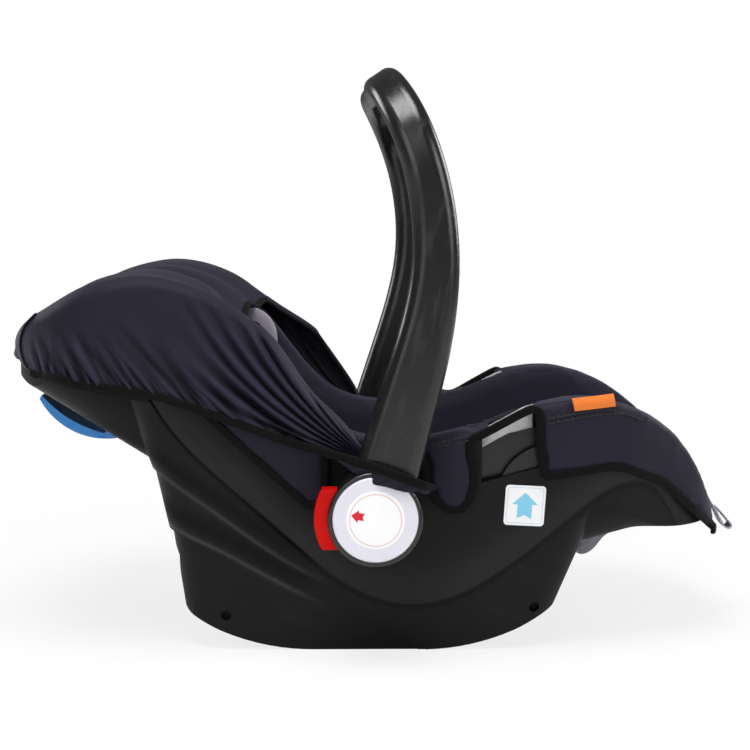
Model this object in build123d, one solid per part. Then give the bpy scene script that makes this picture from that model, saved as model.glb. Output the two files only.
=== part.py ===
from build123d import *
import math
import os

os.makedirs("parts", exist_ok=True)

# Infant car seat that faces +X, its rockers on the floor at Z = 0.
# Driving sizes, in millimetres and degrees.

# Shell: plan and height
SHELL_HALF = 176.0        # half width at the rim
SHELL_LEAN = 0.133        # how far a side leans in per millimetre of depth
LEAN_TOP = 240.0          # the sides stand upright above this height
SHELL_HEAD = 333.0        # from the origin back to the head end
HEAD_SWEEP = 362.0        # the head end is rounded about the hubs, inside the path of the grip
SHELL_FRONT = 337.0       # from the origin to the front lip
HEAD_FLAT = 90.0          # half width of the blunt head end
FRONT_FLAT = 100.0        # half width of the blunt front end
WALL = 3.5                # moulded wall
RIM_LAND = 26.0           # width of the rim between side wall and bowl
END_LAND = 13.0           # width of the rim round the head and the front
RIB = 3.0                 # stiffening ribs under the bowl

# Bowl: the reclined back, the seat and the front lip
BIGHT_X = 8.0             # lowest line of the bowl, outside
BIGHT_Z = 45.0
RECLINE = 32.0            # back, from level
SEAT_RISE = 15.0          # seat, from level
LIP_Z = 111.0             # underside of the front lip
BOWL_ROUND = 45.0         # rounding between floor and walls
BIGHT_ROUND = 80.0
KNEE_ROUND = 60.0

# Base: stepped pedestal with two rockers
STEP = 2.2                # depth of one moulded step
REST_HALF = 52.0          # half length of the flat stretch of each rocker
ROCKER_ROUND = 208.0
ROCKER_RUN = 49.0         # how much of the floor line each rounding takes
ROCKER_END = 24.0
FOOT_FLANGE = 12.5        # inward flange along the rocker
FOOT_HOLE = 5.0           # radius of the holes near the rocker ends

# Soft goods
GAP = 0.3                 # clearance between soft goods and what carries them
COVER = 6.7               # fabric cover outside the shell
LINER = 8.0               # fabric cover inside the bowl
CANOPY = 3.5              # folded hood
HOOD_GAP = 1.0
PLEAT = 2.0               # radius of the gathered pleats
PLEATS = 8
CUSHION = 21.0            # room for the insert's thickness
PILLOW_HALF = 132.0
PILLOW_BOLSTER = 32.0
PILLOW_HEIGHT = 128.0
WEBBING = 1.6
WEBBING_WIDTH = 25.0
STRAP_Y = 42.0

# Carrying handle and its locking hubs
HUB_X = 4.6
HUB_Z = 139.0
HUB_R = 43.0
HUB_THICK = 32.0
ARM_THICK = 26.0
ARM_GAP = 4.2             # between the hood and the arms
BAR_RISE = 391.0          # from the hub up to the middle of the grip
BAR_THICK = 21.0
BAR_WIDE = 34.0
BEND = 78.0               # bend between arm and grip
SOCKET_R = 34.0
SOCKET_LAP = 5.7          # how far the socket reaches into the handle
RUN = 0.06                # radial running clearance of the handle on its sockets
TEETH = 16
TOOTH_OUT = 25.0
TOOTH_ROOT = 21.6
TOOTH_GAP = 0.35
GEAR_THICK = 7.4
GEAR_TRAVEL = 3.0
BUTTON_TRAVEL = 6.0
BUTTON_REACH = 55.0       # hub axis to the outer edge of the button
BUTTON_HALF = 27.5
BOLT_R = 4.0
SPIGOT_R = 8.7
CAP_R = 38.5
CAP_THICK = 5.0

# Harness buckle and adjuster
BUCKLE_LONG = 54.0
BUCKLE_WIDE = 44.0
BUCKLE_THICK = 21.0
BUCKLE_TRAVEL = 4.0
SPRING_LEAF = 0.8         # sheet of the spring washers
LEVER_TRAVEL = 5.0

SPAN = 320.0              # half width of every cutting block, wider than the seat
TOP = 560.0               # above everything but the grip
UNDER = -60.0


# Helpers

def turned(angle, length=1.0):
    """Vector of the given length in the side view, angle in degrees from +X to +Z."""
    return Vector(length * math.cos(math.radians(angle)), 0, length * math.sin(math.radians(angle)))


def side_face(curve):
    """Closed side-view outline, its second coordinate being height, as a face."""
    return Plane.XZ * make_face(curve)


def block(curve, half=SPAN):
    """Closed side-view outline carried across the seat to both sides."""
    return extrude(side_face(curve), amount=half, both=True)


def across(radius, x, z, y_from, y_to):
    """Round bar along Y."""
    bar = Cylinder(radius, y_to - y_from, align=(Align.CENTER, Align.CENTER, Align.MIN))
    return Plane((x, y_from, z), x_dir=(1, 0, 0), z_dir=(0, 1, 0)) * bar


def slab(x0, x1, y0, y1, z0, z1):
    """Box between two corners."""
    size = Box(x1 - x0, y1 - y0, z1 - z0)
    return Pos((x0 + x1) / 2, (y0 + y1) / 2, (z0 + z1) / 2) * size


def other_side(piece):
    """The same piece mirrored to the right-hand side of the seat."""
    return mirror(piece, about=Plane.XZ)


def save(node, *pieces):
    """Write one node as separate solids."""
    solids = [solid for piece in pieces for solid in piece.solids()]
    body = solids[0] if len(solids) == 1 else Compound(children=solids)
    body.label = node
    export_step(body, f"parts/{node}.step")


def save_pair(node, *pieces):
    """Write a left node and its mirrored right node."""
    save(f"{node}_left", *pieces)
    save(f"{node}_right", *[other_side(piece) for piece in pieces])


# Outer envelope of the shell

HEAD_SHOULDER = 56.0      # the head end tapers over this length
FRONT_SHOULDER = 122.0
PLAN_ROUNDS = [74.0, 105.0, 160.0, 78.0]
ENVELOPE_LOW = -40.0


def plan_face(height, grow, head_grow, front_grow):
    """Outline of the shell seen from above at one height, grown outwards."""
    lean = SHELL_LEAN * max(LEAN_TOP - height, 0)
    half = SHELL_HALF - lean + grow
    head = -SHELL_HEAD - head_grow
    front = SHELL_FRONT + front_grow
    left = [
        (head, HEAD_FLAT - lean + grow / 2),
        (head + HEAD_SHOULDER, half),
        (front - FRONT_SHOULDER, half),
        (front, FRONT_FLAT - lean + grow / 2),
    ]
    right = [(x, -y) for x, y in reversed(left)]
    rounds = [size + grow / 2 for size in PLAN_ROUNDS]
    line = FilletPolyline(*left, *right, radius=rounds + rounds[::-1], close=True)
    return Pos(0, 0, height) * make_face(line)


def envelope(grow=0.0, head_grow=None, front_grow=None):
    """Body of the shell between its side walls, leaning below and upright above."""
    head_grow = grow if head_grow is None else head_grow
    front_grow = grow if front_grow is None else front_grow
    low = plan_face(ENVELOPE_LOW, grow, head_grow, front_grow)
    high = plan_face(LEAN_TOP, grow, head_grow, front_grow)
    body = loft([low, high], ruled=True) + extrude(high, amount=TOP - LEAN_TOP)
    return body & across(HEAD_SWEEP + head_grow, HUB_X, HUB_Z, -SPAN, SPAN)


def rim_line():
    """Side view of the rim: high round the head, low at the hubs, down to the front lip."""
    head = -SHELL_HEAD
    front = SHELL_FRONT
    return Spline(
        (head - 40, 250), (head + 34, 311), (head + 86, 336), (head + 128, 343), (-108, 295), (-27, 208),
        (40, 197), (119, 216), (205, 234), (front - 44, 192), (front, 117), (front + 25, 60),
    )


def below_rim(rise=0.0):
    """Everything under the rim line, lifted by rise."""
    rim = rim_line()
    start = rim @ 0
    end = rim @ 1
    close = Polyline(end, (end.X, 2 * UNDER), (start.X, 2 * UNDER), start)
    return Pos(0, 0, rise) * block(rim + close)


# Bowl: points on its back and seat, and the hollow at any depth of lining

UP_BACK = turned(180 - RECLINE)
OFF_BACK = turned(90 - RECLINE)
ALONG_SEAT = turned(SEAT_RISE)
OFF_SEAT = turned(90 + SEAT_RISE)
BIGHT = Vector(BIGHT_X, 0, BIGHT_Z)
BOWL_HALF = SHELL_HALF - RIM_LAND
BIGHT_TURN = math.radians((RECLINE + SEAT_RISE) / 2)


def back_point(up, off):
    """Point up the back from the bight and off its outer face."""
    return BIGHT + UP_BACK * up + OFF_BACK * off


def seat_point(along, off):
    """Point along the seat from the bight and off its outer face."""
    return BIGHT + ALONG_SEAT * along + OFF_SEAT * off


def bight_point(off):
    """Where the back and the seat meet at one distance inside the bowl."""
    return seat_point(off * math.tan(BIGHT_TURN), off)


def flat(point):
    """Side-view pair of a point."""
    return (point.X, point.Z)


def knee_point(off):
    """Where the seat meets the level front lip."""
    start = seat_point(0, off)
    run = (LIP_Z + off - start.Z) / math.tan(math.radians(SEAT_RISE))
    return (start.X + run, LIP_Z + off)


def bowl(off):
    """Hollow of the bowl, off millimetres inside its outer face and open above."""
    far = SHELL_HEAD + SHELL_FRONT
    points = [
        (back_point(far, off).X, TOP),
        flat(back_point(far, off)),
        flat(bight_point(off)),
        knee_point(off),
        (far, LIP_Z + off),
        (far, TOP),
    ]
    rounds = [0, 0, BIGHT_ROUND - off, KNEE_ROUND + off, 0, 0]
    body = block(FilletPolyline(*points, radius=rounds, close=True), BOWL_HALF - off)
    ends = (points[0][0], far)

    def is_floor_edge(edge):
        middle = edge.center()
        at_end = min(abs(middle.X - end) for end in ends) < 1
        return not at_end and middle.Z < TOP - 1 and abs(middle.Y) > 1

    walls = body.faces().sort_by(Axis.Y)
    edges = [e for wall in (walls[0], walls[-1]) for e in wall.edges() if is_floor_edge(e)]
    return fillet(edges, BOWL_ROUND - off)


# Side-view borders of the moulded steps

SKIRT_HEAD = [(-2 * SHELL_HEAD, 320), (-190, 237.5)]
SMILE = (21.8, 10.9)
SMILE_ROUND = 115.0
LIP_EDGE = [(203, 131), (268, 157), (2 * SHELL_FRONT, 150)]


def upper_body(rise=0.0):
    """Everything above the border that dips in a smile below the hub."""
    points = SKIRT_HEAD + [SMILE] + LIP_EDGE
    points += [(2 * SHELL_FRONT, 2 * TOP), (-2 * SHELL_HEAD, 2 * TOP)]
    rounds = [0, 30, SMILE_ROUND, 60, 40, 0, 0, 0]
    return Pos(0, 0, rise) * block(FilletPolyline(*points, radius=rounds, close=True))


def above(points):
    """Everything above a smooth side-view line."""
    line = Spline(*points)
    start = line @ 0
    end = line @ 1
    return block(line + Polyline(end, (end.X, TOP), (start.X, TOP), start))


UPPER_CREASE = [(-260, 190), (-169, 155), (-105, 104.5), (-36, 61), (90, -22), (300, -60)]
LOWER_CREASE = [(-260, 128), (-155, 104), (-83, 68.5), (-25, 39), (90, -22), (300, -60)]

# Rear walls of the three steps: place at ENVELOPE_LOW and at LEAN_TOP, then their side insets
STEP_REAR = [(-128.8, -224.6), (-155.3, -213.8), (-163.0, -202.0)]
STEP_INSET = [(1.0, 1.0), (2.0, 1.25), (3.0, 1.5)]
BASE_FRONT = (146.0, 259.0)
BASE_CORNER = 34.0


def step_face(step, level, inset):
    """Outline of one step of the base, seen from above."""
    height = (ENVELOPE_LOW, LEAN_TOP)[level]
    half = SHELL_HALF - SHELL_LEAN * (LEAN_TOP - height) - inset
    rear_in, front_in = STEP_INSET[step]
    rear = STEP_REAR[step][level] + inset
    front = BASE_FRONT[level] - inset
    left = [(rear, half - STEP * rear_in), (front, half - STEP * front_in)]
    right = [(x, -y) for x, y in reversed(left)]
    line = FilletPolyline(*left, *right, radius=BASE_CORNER - inset, close=True)
    return Pos(0, 0, height) * make_face(line)


def base_step(step, inset=0.0):
    """One tapering step of the base, from below the floor up to where the sides stand upright."""
    return loft([step_face(step, 0, inset), step_face(step, 1, inset)], ruled=True)


def above_floor(rise=0.0):
    """Everything above the rocker line: flat in the middle and rolling up at both ends."""
    roll = REST_HALF + ROCKER_RUN
    far = SHELL_FRONT + SHELL_HALF
    points = [
        (-far, TOP), (-far, 190), (-224, 190), (-178, 90), (-178, 38), (-roll, 0), (roll, 0), (190, 46),
        (232, 190), (far, 190), (far, TOP),
    ]
    rounds = [0, 0, 0, 0, ROCKER_END, ROCKER_ROUND, ROCKER_ROUND, ROCKER_END, 0, 0, 0]
    return Pos(0, 0, rise) * block(FilletPolyline(*points, radius=rounds, close=True))


# Seat shell

HOLES = [(-134, 34), (156, 41)]
RIB_PLACES = (-60, 90)
NOTCH = [(104, 163), (168, 180)]        # lower edge of the belt notch in the side wall
NOTCH_TOP = 229.0                       # under the cover's bridge over the notch
STRAP_SLOT_UP = 204.0                   # shoulder strap slots, up the back
CROTCH_SLOT = 92.0                      # crotch strap slot, along the seat
FRONT_SLOT_X = 263.0                    # adjuster strap slot in the front lip
TUCK_SLOT_Z = 76.0                      # adjuster strap slot in the front wall of the base
SLOT_LONG = WEBBING_WIDTH + 6
SLOT_HIGH = 6.0


def slot_through(point, normal_angle, y_mid, depth, long=SLOT_LONG):
    """Belt slot through a sloping floor, centred on a point of its outer face."""
    box = Box(SLOT_HIGH, long, depth)
    return Plane((point.X, y_mid, point.Z), x_dir=turned(normal_angle - 90), z_dir=turned(normal_angle)) * box


def belt_slots(depth):
    """All belt slots of the bowl, as cutters of the given depth."""
    back = back_point(STRAP_SLOT_UP, 0)
    cutters = [slot_through(back, 90 - RECLINE, y, depth) for y in (STRAP_Y, -STRAP_Y)]
    cutters.append(slot_through(seat_point(CROTCH_SLOT, 0), 90 + SEAT_RISE, 0, depth))
    cutters.append(slot_through(Vector(FRONT_SLOT_X, 0, LIP_Z), 90, 0, depth))
    return cutters


def notch_block():
    """Side-view block of the belt notch, above its lower edge."""
    return block(Polyline(*NOTCH, (NOTCH[1][0], TOP), (NOTCH[0][0], TOP), close=True))


def make_shell():
    """One moulding: stepped side walls, rim, bowl and rocker flanges, hollow underneath."""
    rim = below_rim()
    crown = envelope() & rim & upper_body()
    steps = base_step(0) & above(UPPER_CREASE)
    steps += base_step(1) & above(LOWER_CREASE)
    steps += base_step(2)
    outside = crown + (steps & above_floor() & rim - upper_body())
    tub = bowl(0) & envelope() & rim
    hollow = envelope(-WALL) & below_rim(-WALL) & upper_body(WALL)
    hollow += base_step(2, WALL) & above_floor(WALL) & below_rim(-WALL)
    hollow += base_step(2, WALL + FOOT_FLANGE) & slab(-SPAN, SPAN, -SPAN, SPAN, UNDER, LIP_Z)
    shell = outside - (hollow - tub) + tub
    for x in RIB_PLACES:
        rib = hollow & slab(x - RIB / 2, x + RIB / 2, -SPAN, SPAN, 24, TOP)
        shell += rib - slab(x - RIB, x + RIB, -WEBBING_WIDTH, WEBBING_WIDTH, UNDER, TOP)
    shell -= bowl(WALL) & envelope(-END_LAND)
    notch = notch_block()
    for side in (1, -1):
        shell -= notch & slab(-SPAN, SPAN, *sorted((side * BOWL_HALF, side * SPAN)), UNDER, TOP)
    for cutter in belt_slots(6 * WALL):
        shell -= cutter
    shell -= slab(BASE_FRONT[0], BASE_FRONT[1], -SLOT_LONG / 2, SLOT_LONG / 2,
                  TUCK_SLOT_Z - SLOT_HIGH, TUCK_SLOT_Z + SLOT_HIGH)
    for x, z in HOLES:
        shell -= across(FOOT_HOLE, x, z, -SPAN, SPAN)
    shell -= across(BOLT_R + GAP, HUB_X, HUB_Z, BOWL_HALF + 0.5, SPAN)
    shell -= across(BOLT_R + GAP, HUB_X, HUB_Z, -SPAN, -BOWL_HALF - 0.5)
    return shell


# Belt hook behind the head, and its screws

HOOK_HALF = 64.0
HOOK_FOOT = 14.0
HOOK_LONG = 92.0
HOOK_GAP = 11.0           # room for a belt between hook and shell
HOOK_BULGE = 24.0
HOOK_TIP = 4.0            # thickness at the free edge
HOOK_WALL = 8.0
SCREW_SPREAD = 38.0
SCREW_R = 2.4
SCREW_BITE = 6.0          # how deep a screw goes into the foot
SCREW_HEAD = 4.6
SCREW_CAP = 2.2
HOOK_START = (BIGHT_X - STEP_REAR[0][1]) / math.cos(math.radians(RECLINE)) + 8


def hook_point(up, out):
    """Point on the outside of the back, up from where the hook starts."""
    return flat(back_point(HOOK_START + up, -out))


def make_hook():
    """Crescent lip that stands off the back on a foot along its lower edge."""
    foot = Line(hook_point(HOOK_FOOT, 0), hook_point(0, 0))
    outer = ThreePointArc(hook_point(0, 0), hook_point(0.45 * HOOK_LONG, HOOK_BULGE),
                          hook_point(HOOK_LONG, HOOK_GAP + HOOK_TIP))
    tip = Line(hook_point(HOOK_LONG, HOOK_GAP + HOOK_TIP), hook_point(HOOK_LONG, HOOK_GAP))
    inner = ThreePointArc(hook_point(HOOK_LONG, HOOK_GAP),
                          hook_point(0.5 * HOOK_LONG, HOOK_BULGE - HOOK_WALL),
                          hook_point(HOOK_FOOT + HOOK_WALL, HOOK_GAP))
    neck = Line(hook_point(HOOK_FOOT + HOOK_WALL, HOOK_GAP), hook_point(HOOK_FOOT, 0))
    return block(foot + outer + tip + inner + neck, HOOK_HALF)


def screw_places():
    """Where the two screws of the hook seat on the inside of the back."""
    seat = back_point(HOOK_START + HOOK_FOOT / 2, WALL)
    sides = (-SCREW_SPREAD, SCREW_SPREAD)
    return [Plane((seat.X, y, seat.Z), x_dir=(0, 1, 0), z_dir=OFF_BACK) for y in sides]


def hook_screws():
    """Two screws from inside the bowl into the foot of the hook."""
    head = Cylinder(SCREW_HEAD, SCREW_CAP, align=(Align.CENTER, Align.CENTER, Align.MIN))
    shank = Cylinder(SCREW_R, WALL + SCREW_BITE, align=(Align.CENTER, Align.CENTER, Align.MAX))
    return [place * (head + shank) for place in screw_places()]


# Lap belt guides: a lining in each notch with a hooked fin

FIN = 3.5
GUIDE_PLATE = 3.0
BELT_ROOM = 5.4           # width of the way for the lap belt
BRIDGE = 5.7


def make_guide():
    """Inner plate on the bowl's wall, and a hooked fin joined to it at its front end."""
    (x0, z0), (x1, z1) = NOTCH
    front = x1 - GAP
    rear = x0 + GAP
    plate_line = Polyline((rear, z0 - 8), (front, z1 - 8), (front, z1 + 36), (x0 + 26, z1 + 27),
                          (rear, z0 + 30), close=True)
    plate = extrude(side_face(plate_line), amount=-GUIDE_PLATE)
    toe = (x0 + 18, z0 + 2)
    heel = (front, z0 + 10)
    tip = (front, z1 + 18)
    fin_line = Line(toe, heel) + Line(heel, tip) + ThreePointArc(tip, (x0 + 33, z1 + 6), toe)
    fin = Pos(0, GUIDE_PLATE + BELT_ROOM, 0) * extrude(side_face(fin_line), amount=-FIN)
    back = front - BRIDGE
    bridge_line = Polyline((back, heel[1]), heel, tip, (back, tip[1] - BRIDGE / 2), close=True)
    bridge = extrude(side_face(bridge_line), amount=-(GUIDE_PLATE + BELT_ROOM + FIN))
    return Pos(0, BOWL_HALF, 0) * (plate + fin + bridge)


# Fabric cover: over the rim, down the outside in flaps, and as a liner inside the bowl

COVER_EDGE = [
    (-2 * SHELL_HEAD, 335), (-160, 240), (-56, 142), (-42, 146), (-40, 196), (52, 196),
    (57, 168), (66, 136), (98, 136), (110, 170), (115, 205), (150, 229), (166, 231), (170, 171),
    (231, 179), (280, 157), (2 * SHELL_FRONT, -190),
]
COVER_ROUNDS = [0, 40, 6, 5, 8, 8, 30, 14, 14, 30, 10, 8, 4, 5, 60, 60, 0]
ADJUSTER_HALF_X = 24.0
ADJUSTER_HALF_Y = 22.0
LIP_HEM = 14.0            # how far the cover hangs below the front lip
PULL_SLIT = 8.0           # room in front of the adjuster for its pull strap


def cover_block():
    """Side-view block above the lower edge of the cover's flaps."""
    corners = [(2 * SHELL_FRONT, 2 * TOP), (-2 * SHELL_HEAD, 2 * TOP)]
    return block(FilletPolyline(*COVER_EDGE, *corners, radius=COVER_ROUNDS + [0, 0], close=True))


def make_cover():
    """One sewn piece, with an opening for the adjuster and slots for the belts."""
    skin = envelope(GAP + COVER) & below_rim(GAP + COVER)
    skin -= envelope(GAP) & below_rim(GAP)
    flaps = skin & cover_block()
    flaps -= slab(-SPAN, 2 * SPAN, -SPAN, SPAN, UNDER, LIP_Z - LIP_HEM)
    liner = bowl(WALL + GAP) & envelope(-END_LAND - GAP) & below_rim(GAP + COVER)
    cover = flaps + liner
    cover -= bowl(WALL + GAP + LINER) & envelope(-END_LAND - GAP - LINER)
    for place in screw_places():
        cover -= place * Cylinder(SCREW_HEAD + GAP, 4 * GAP + 2 * SCREW_CAP)
    for cutter in belt_slots(4 * (LINER + WALL)):
        cover -= cutter
    cover -= slab(FRONT_SLOT_X - ADJUSTER_HALF_X - GAP, FRONT_SLOT_X + ADJUSTER_HALF_X + PULL_SLIT,
                  -ADJUSTER_HALF_Y - GAP, ADJUSTER_HALF_Y + GAP, LIP_Z, TOP)
    for side in (1, -1):
        ends = sorted((side * (SHELL_HALF + COVER), side * (BOWL_HALF + GAP)))
        cover -= slab(NOTCH[0][0] + 6, NOTCH[1][0] - 1, *ends, LIP_Z - LIP_HEM, NOTCH_TOP)
    return cover


# Hood folded back over the head end

HEM = [(-2 * SHELL_HEAD, 300), (-306, 266), (-198, 249.5), (-108, 218), (-18, 187), (14, 176), (21, 190)]
HEM_ROUNDS = [0, 60, 80, 80, 60, 8, 8]
HOOD_FRONT = -148.0       # free front edge of the roof
HOOD_LAP = 14.0           # how far the hood laps inwards over the rim
PLEAT_FAN = (127.0, 149.0)
PLEAT_RISE = 8.0          # where a pleat begins, above the leaning part of the sides
PLEAT_REACH = 222.0       # how far back the pleats go, from the hub axis
PLEAT_FIRST = 233.0       # end of the steepest pleat, below the ridge
PLEAT_GAIN = 8.0          # how much further the next ones go, per degree
HOOD_IN = GAP + COVER + HOOD_GAP
HOOD_OUT = HOOD_IN + CANOPY


def make_hood():
    """Roof between the two ridges and side panels down to the hem, with pleats that fan from the hubs."""
    corners = [(21, 2 * TOP), (-2 * SHELL_HEAD, 2 * TOP)]
    region = block(FilletPolyline(*HEM, *corners, radius=HEM_ROUNDS + [0, 0], close=True))
    hood = envelope(HOOD_OUT) & below_rim(HOOD_OUT) & region
    hood -= envelope(HOOD_IN) & below_rim(HOOD_IN)
    inner = SHELL_HALF + HOOD_OUT - HOOD_LAP - RIM_LAND / 2
    hood -= slab(HOOD_FRONT, SPAN, -inner, inner, UNDER, TOP)
    face = SHELL_HALF + HOOD_OUT
    first, last = PLEAT_FAN
    for count in range(PLEATS):
        angle = first + count * (last - first) / (PLEATS - 1)
        begin = (LEAN_TOP + PLEAT_RISE - HUB_Z) / math.sin(math.radians(angle))
        start = Vector(HUB_X, 0, HUB_Z) + turned(angle, begin)
        end = min(PLEAT_REACH / -math.cos(math.radians(angle)), PLEAT_FIRST + (angle - first) * PLEAT_GAIN)
        cone = Cone(PLEAT * 0.45, PLEAT, end - begin, align=(Align.CENTER, Align.CENTER, Align.MIN))
        for side in (1, -1):
            place = Plane((start.X, side * face, start.Z), x_dir=(0, 1, 0), z_dir=turned(angle))
            hood += place * cone
    return hood


# Infant insert: body cushion and head pillow

FLOOR = WALL + GAP + LINER + GAP
CUSHION_TOP = FLOOR + CUSHION
SINK = 3.0                # depth below the liner's face, cut away by the bowl
SIDE_PUFF = 4.0           # how far the sides bulge between the seams
CROWN = 0.55              # thickness along the sides, as a share of the middle

# Stations of the cushion: up the back (negative) or along the seat, half width and thickness
CUSHION_STATIONS = [
    (-199, 86, 9), (-188, 94, 16), (-152, 100, 20), (-118, 96, 16), (-84, 98, 20), (-52, 93, 18),
    (52, 93, 18), (84, 99, 20), (116, 97, 17), (138, 94, 14), (150, 88, 8),
]


def cushion_place(run):
    """Plane across the cushion on the liner's face: back for a negative run, seat for a positive one."""
    if run < 0:
        return Plane(back_point(-run, FLOOR), x_dir=(0, 1, 0), z_dir=-UP_BACK)
    return Plane(seat_point(run, FLOOR), x_dir=(0, 1, 0), z_dir=ALONG_SEAT)


def crowned_face(half, thick, low=-SINK):
    """Section of a stuffed pad: flat below, bulging sides and a crowned top."""
    side = CROWN * thick
    below = Line((-half, low), (half, low))
    right = ThreePointArc((half, low), (half + SIDE_PUFF, (low + side) / 2), (half, side))
    top = ThreePointArc((half, side), (0, thick), (-half, side))
    left = ThreePointArc((-half, side), (-half - SIDE_PUFF, (low + side) / 2), (-half, low))
    return make_face(below + right + top + left)


def make_cushion():
    """Padded layer that follows the back and the seat, drawn in at its cross seams."""
    faces = [cushion_place(run) * crowned_face(half, thick) for run, half, thick in CUSHION_STATIONS]
    pad = loft(faces) & bowl(FLOOR)
    for cutter in belt_slots(4 * CUSHION_TOP):
        pad -= cutter
    return pad


# Stations of the head pillow: run up the back, half width, floor and bolster heights
PILLOW_UP = 212.0
PILLOW_STATIONS = [
    (0, 118, 12, 66), (14, 129, 22, 104), (56, PILLOW_HALF, 25, PILLOW_HEIGHT), (94, 129, 22, 110),
    (108, 118, 12, 70),
]


def pillow_face(half, floor, height):
    """U-shaped section: a floor pad with a rounded bolster up each side."""
    inner = half - PILLOW_BOLSTER
    points = [(-half, 0), (half, 0), (half, height), (inner, height), (inner, floor), (-inner, floor),
              (-inner, height), (-half, height)]
    rounds = [36, 36, 15, 15, 22, 22, 15, 15]
    return make_face(FilletPolyline(*points, radius=rounds, close=True))


def make_pillow():
    """Head hugger that follows the back, fullest in the middle."""
    faces = []
    for run, half, floor, height in PILLOW_STATIONS:
        place = Plane(back_point(PILLOW_UP + run, FLOOR), x_dir=(0, -1, 0), z_dir=UP_BACK)
        faces.append(place * pillow_face(half, floor, height))
    return loft(faces) & bowl(FLOOR)


# Harness

STRAP_OFF = CUSHION_TOP + GAP + WEBBING / 2
STRAP_END = 66.0
PAD_UP = 84.0
PAD_STATIONS = [(0, 38, 5), (10, 46, 9), (52, 48, 11), (94, 46, 9), (104, 38, 5)]   # run, width, depth
YOKE_UP = 140.0


def webbing(points, radii, y_mid, width=WEBBING_WIDTH):
    """Flat strap along a side-view route."""
    route = FilletPolyline(*points, radius=radii)
    face = trace(route, line_width=WEBBING)
    return Pos(0, y_mid, 0) * extrude(Plane.XZ * face, amount=width / 2, both=True)


def make_shoulder_strap():
    """From the tongue up over the cushion, through its slot and down behind the bowl to the yoke."""
    behind = -WEBBING
    points = [
        flat(back_point(STRAP_END, STRAP_OFF)), flat(back_point(STRAP_SLOT_UP, STRAP_OFF)),
        flat(back_point(STRAP_SLOT_UP, behind)), flat(back_point(YOKE_UP, behind)),
    ]
    return webbing(points, [1.6, 1.2], STRAP_Y)


def make_shoulder_pad():
    """Padded sleeve that lies on the strap."""
    faces = []
    low = STRAP_OFF + WEBBING / 2 + GAP
    for run, wide, thick in PAD_STATIONS:
        place = Plane(back_point(PAD_UP + run, low), x_dir=(0, -1, 0), z_dir=UP_BACK)
        faces.append(place * Pos(-STRAP_Y, 0) * crowned_face(wide / 2, thick, 0))
    return loft(faces)


BUCKLE_TILT = 47.0
BUCKLE_X = 54.0
BUCKLE_Z = 133.0
TONGUE = 2.0


def buckle_place():
    """Plane on the buckle's middle: x up its length, z out of its face."""
    return Plane((BUCKLE_X, 0, BUCKLE_Z), x_dir=turned(180 - BUCKLE_TILT), z_dir=turned(90 - BUCKLE_TILT))


BUTTON_WIDE = 24.0
BUTTON_LONG = 22.0
BUTTON_DEEP = 9.0
BUTTON_DOWN = 6.0         # button's middle below the buckle's middle
BUTTON_PROUD = 2.5
MOUTH_DOWN = 3.0          # mouth behind the buckle's middle
MOUTH_DEEP = 15.0
MOUTH_WIDE = 32.0


def make_buckle():
    """Housing with a well for the release button, a mouth for the tongues and a foot slot."""
    body = extrude(RectangleRounded(BUCKLE_LONG, BUCKLE_WIDE, 9), amount=BUCKLE_THICK / 2, both=True)
    body = fillet(body.edges().group_by(Axis.Z)[-1] + body.edges().group_by(Axis.Z)[0], 3)
    well = Box(BUTTON_LONG + 2 * GAP, BUTTON_WIDE + 2 * GAP, 2 * BUTTON_DEEP)
    well = Pos(-BUTTON_DOWN, 0, BUCKLE_THICK / 2) * well
    mouth = Pos(BUCKLE_LONG / 2, 0, -MOUTH_DOWN) * Box(2 * MOUTH_DEEP, MOUTH_WIDE, TONGUE + 4 * GAP)
    return body - well - mouth


def make_buckle_button():
    """Press button that fills the well and stands proud of the face."""
    bottom = BUCKLE_THICK / 2 - BUTTON_DEEP + BUCKLE_TRAVEL + GAP
    top = BUCKLE_THICK / 2 + BUTTON_PROUD
    cap = Pos(-BUTTON_DOWN, 0, (top + bottom) / 2) * Box(BUTTON_LONG, BUTTON_WIDE, top - bottom)
    return fillet(cap.edges().filter_by(Axis.Z), 3)


def make_buckle_spring():
    """Dished spring washer under the button."""
    bottom = BUCKLE_THICK / 2 - BUTTON_DEEP
    return Pos(-BUTTON_DOWN, 0, bottom) * dished_washer(4, 8, BUCKLE_TRAVEL + GAP, SPRING_LEAF)


def dished_washer(inner, outer, height, thick):
    """Cone-shaped spring washer that stands on its outer edge, along Z from 0 to height."""
    corners = [(outer, 0), (outer, thick), (inner, height), (inner, height - thick)]
    return revolve(Plane.XZ * make_face(Polyline(*corners, close=True)), Axis.Z)


def make_tongue():
    """Steel tongue: one half of the pair that plugs into the mouth."""
    plate = Pos(8, 8, 0) * Box(40, 15, TONGUE)
    head = Pos(24, 17, 0) * Box(16, 32, TONGUE)
    slot = Pos(25, 18, 0) * Box(5, WEBBING_WIDTH + 1, 3 * TONGUE)
    return Pos(BUCKLE_LONG / 2, 0, -MOUTH_DOWN) * (plate + head - slot)


ANCHOR_R = 2.4
ANCHOR_HALF = 28.0


def make_crotch_strap():
    """From an anchor bar under the seat up through its slot to the buckle."""
    foot = buckle_place().from_local_coords(Vector(-BUCKLE_LONG / 2 - WEBBING / 2 - GAP, 0, 0))
    top = seat_point(CROTCH_SLOT, CUSHION_TOP + 6)
    points = [flat(seat_point(CROTCH_SLOT, -6)), flat(top), flat(foot)]
    return webbing(points, [12], 0)


def make_anchor_bar():
    """Steel bar under the seat that holds the crotch strap."""
    spot = seat_point(CROTCH_SLOT + WEBBING / 2 + ANCHOR_R + GAP, -ANCHOR_R - GAP)
    return across(ANCHOR_R, spot.X, spot.Z, -ANCHOR_HALF, ANCHOR_HALF)


# Harness adjuster in the front lip, its straps and the yoke

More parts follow.
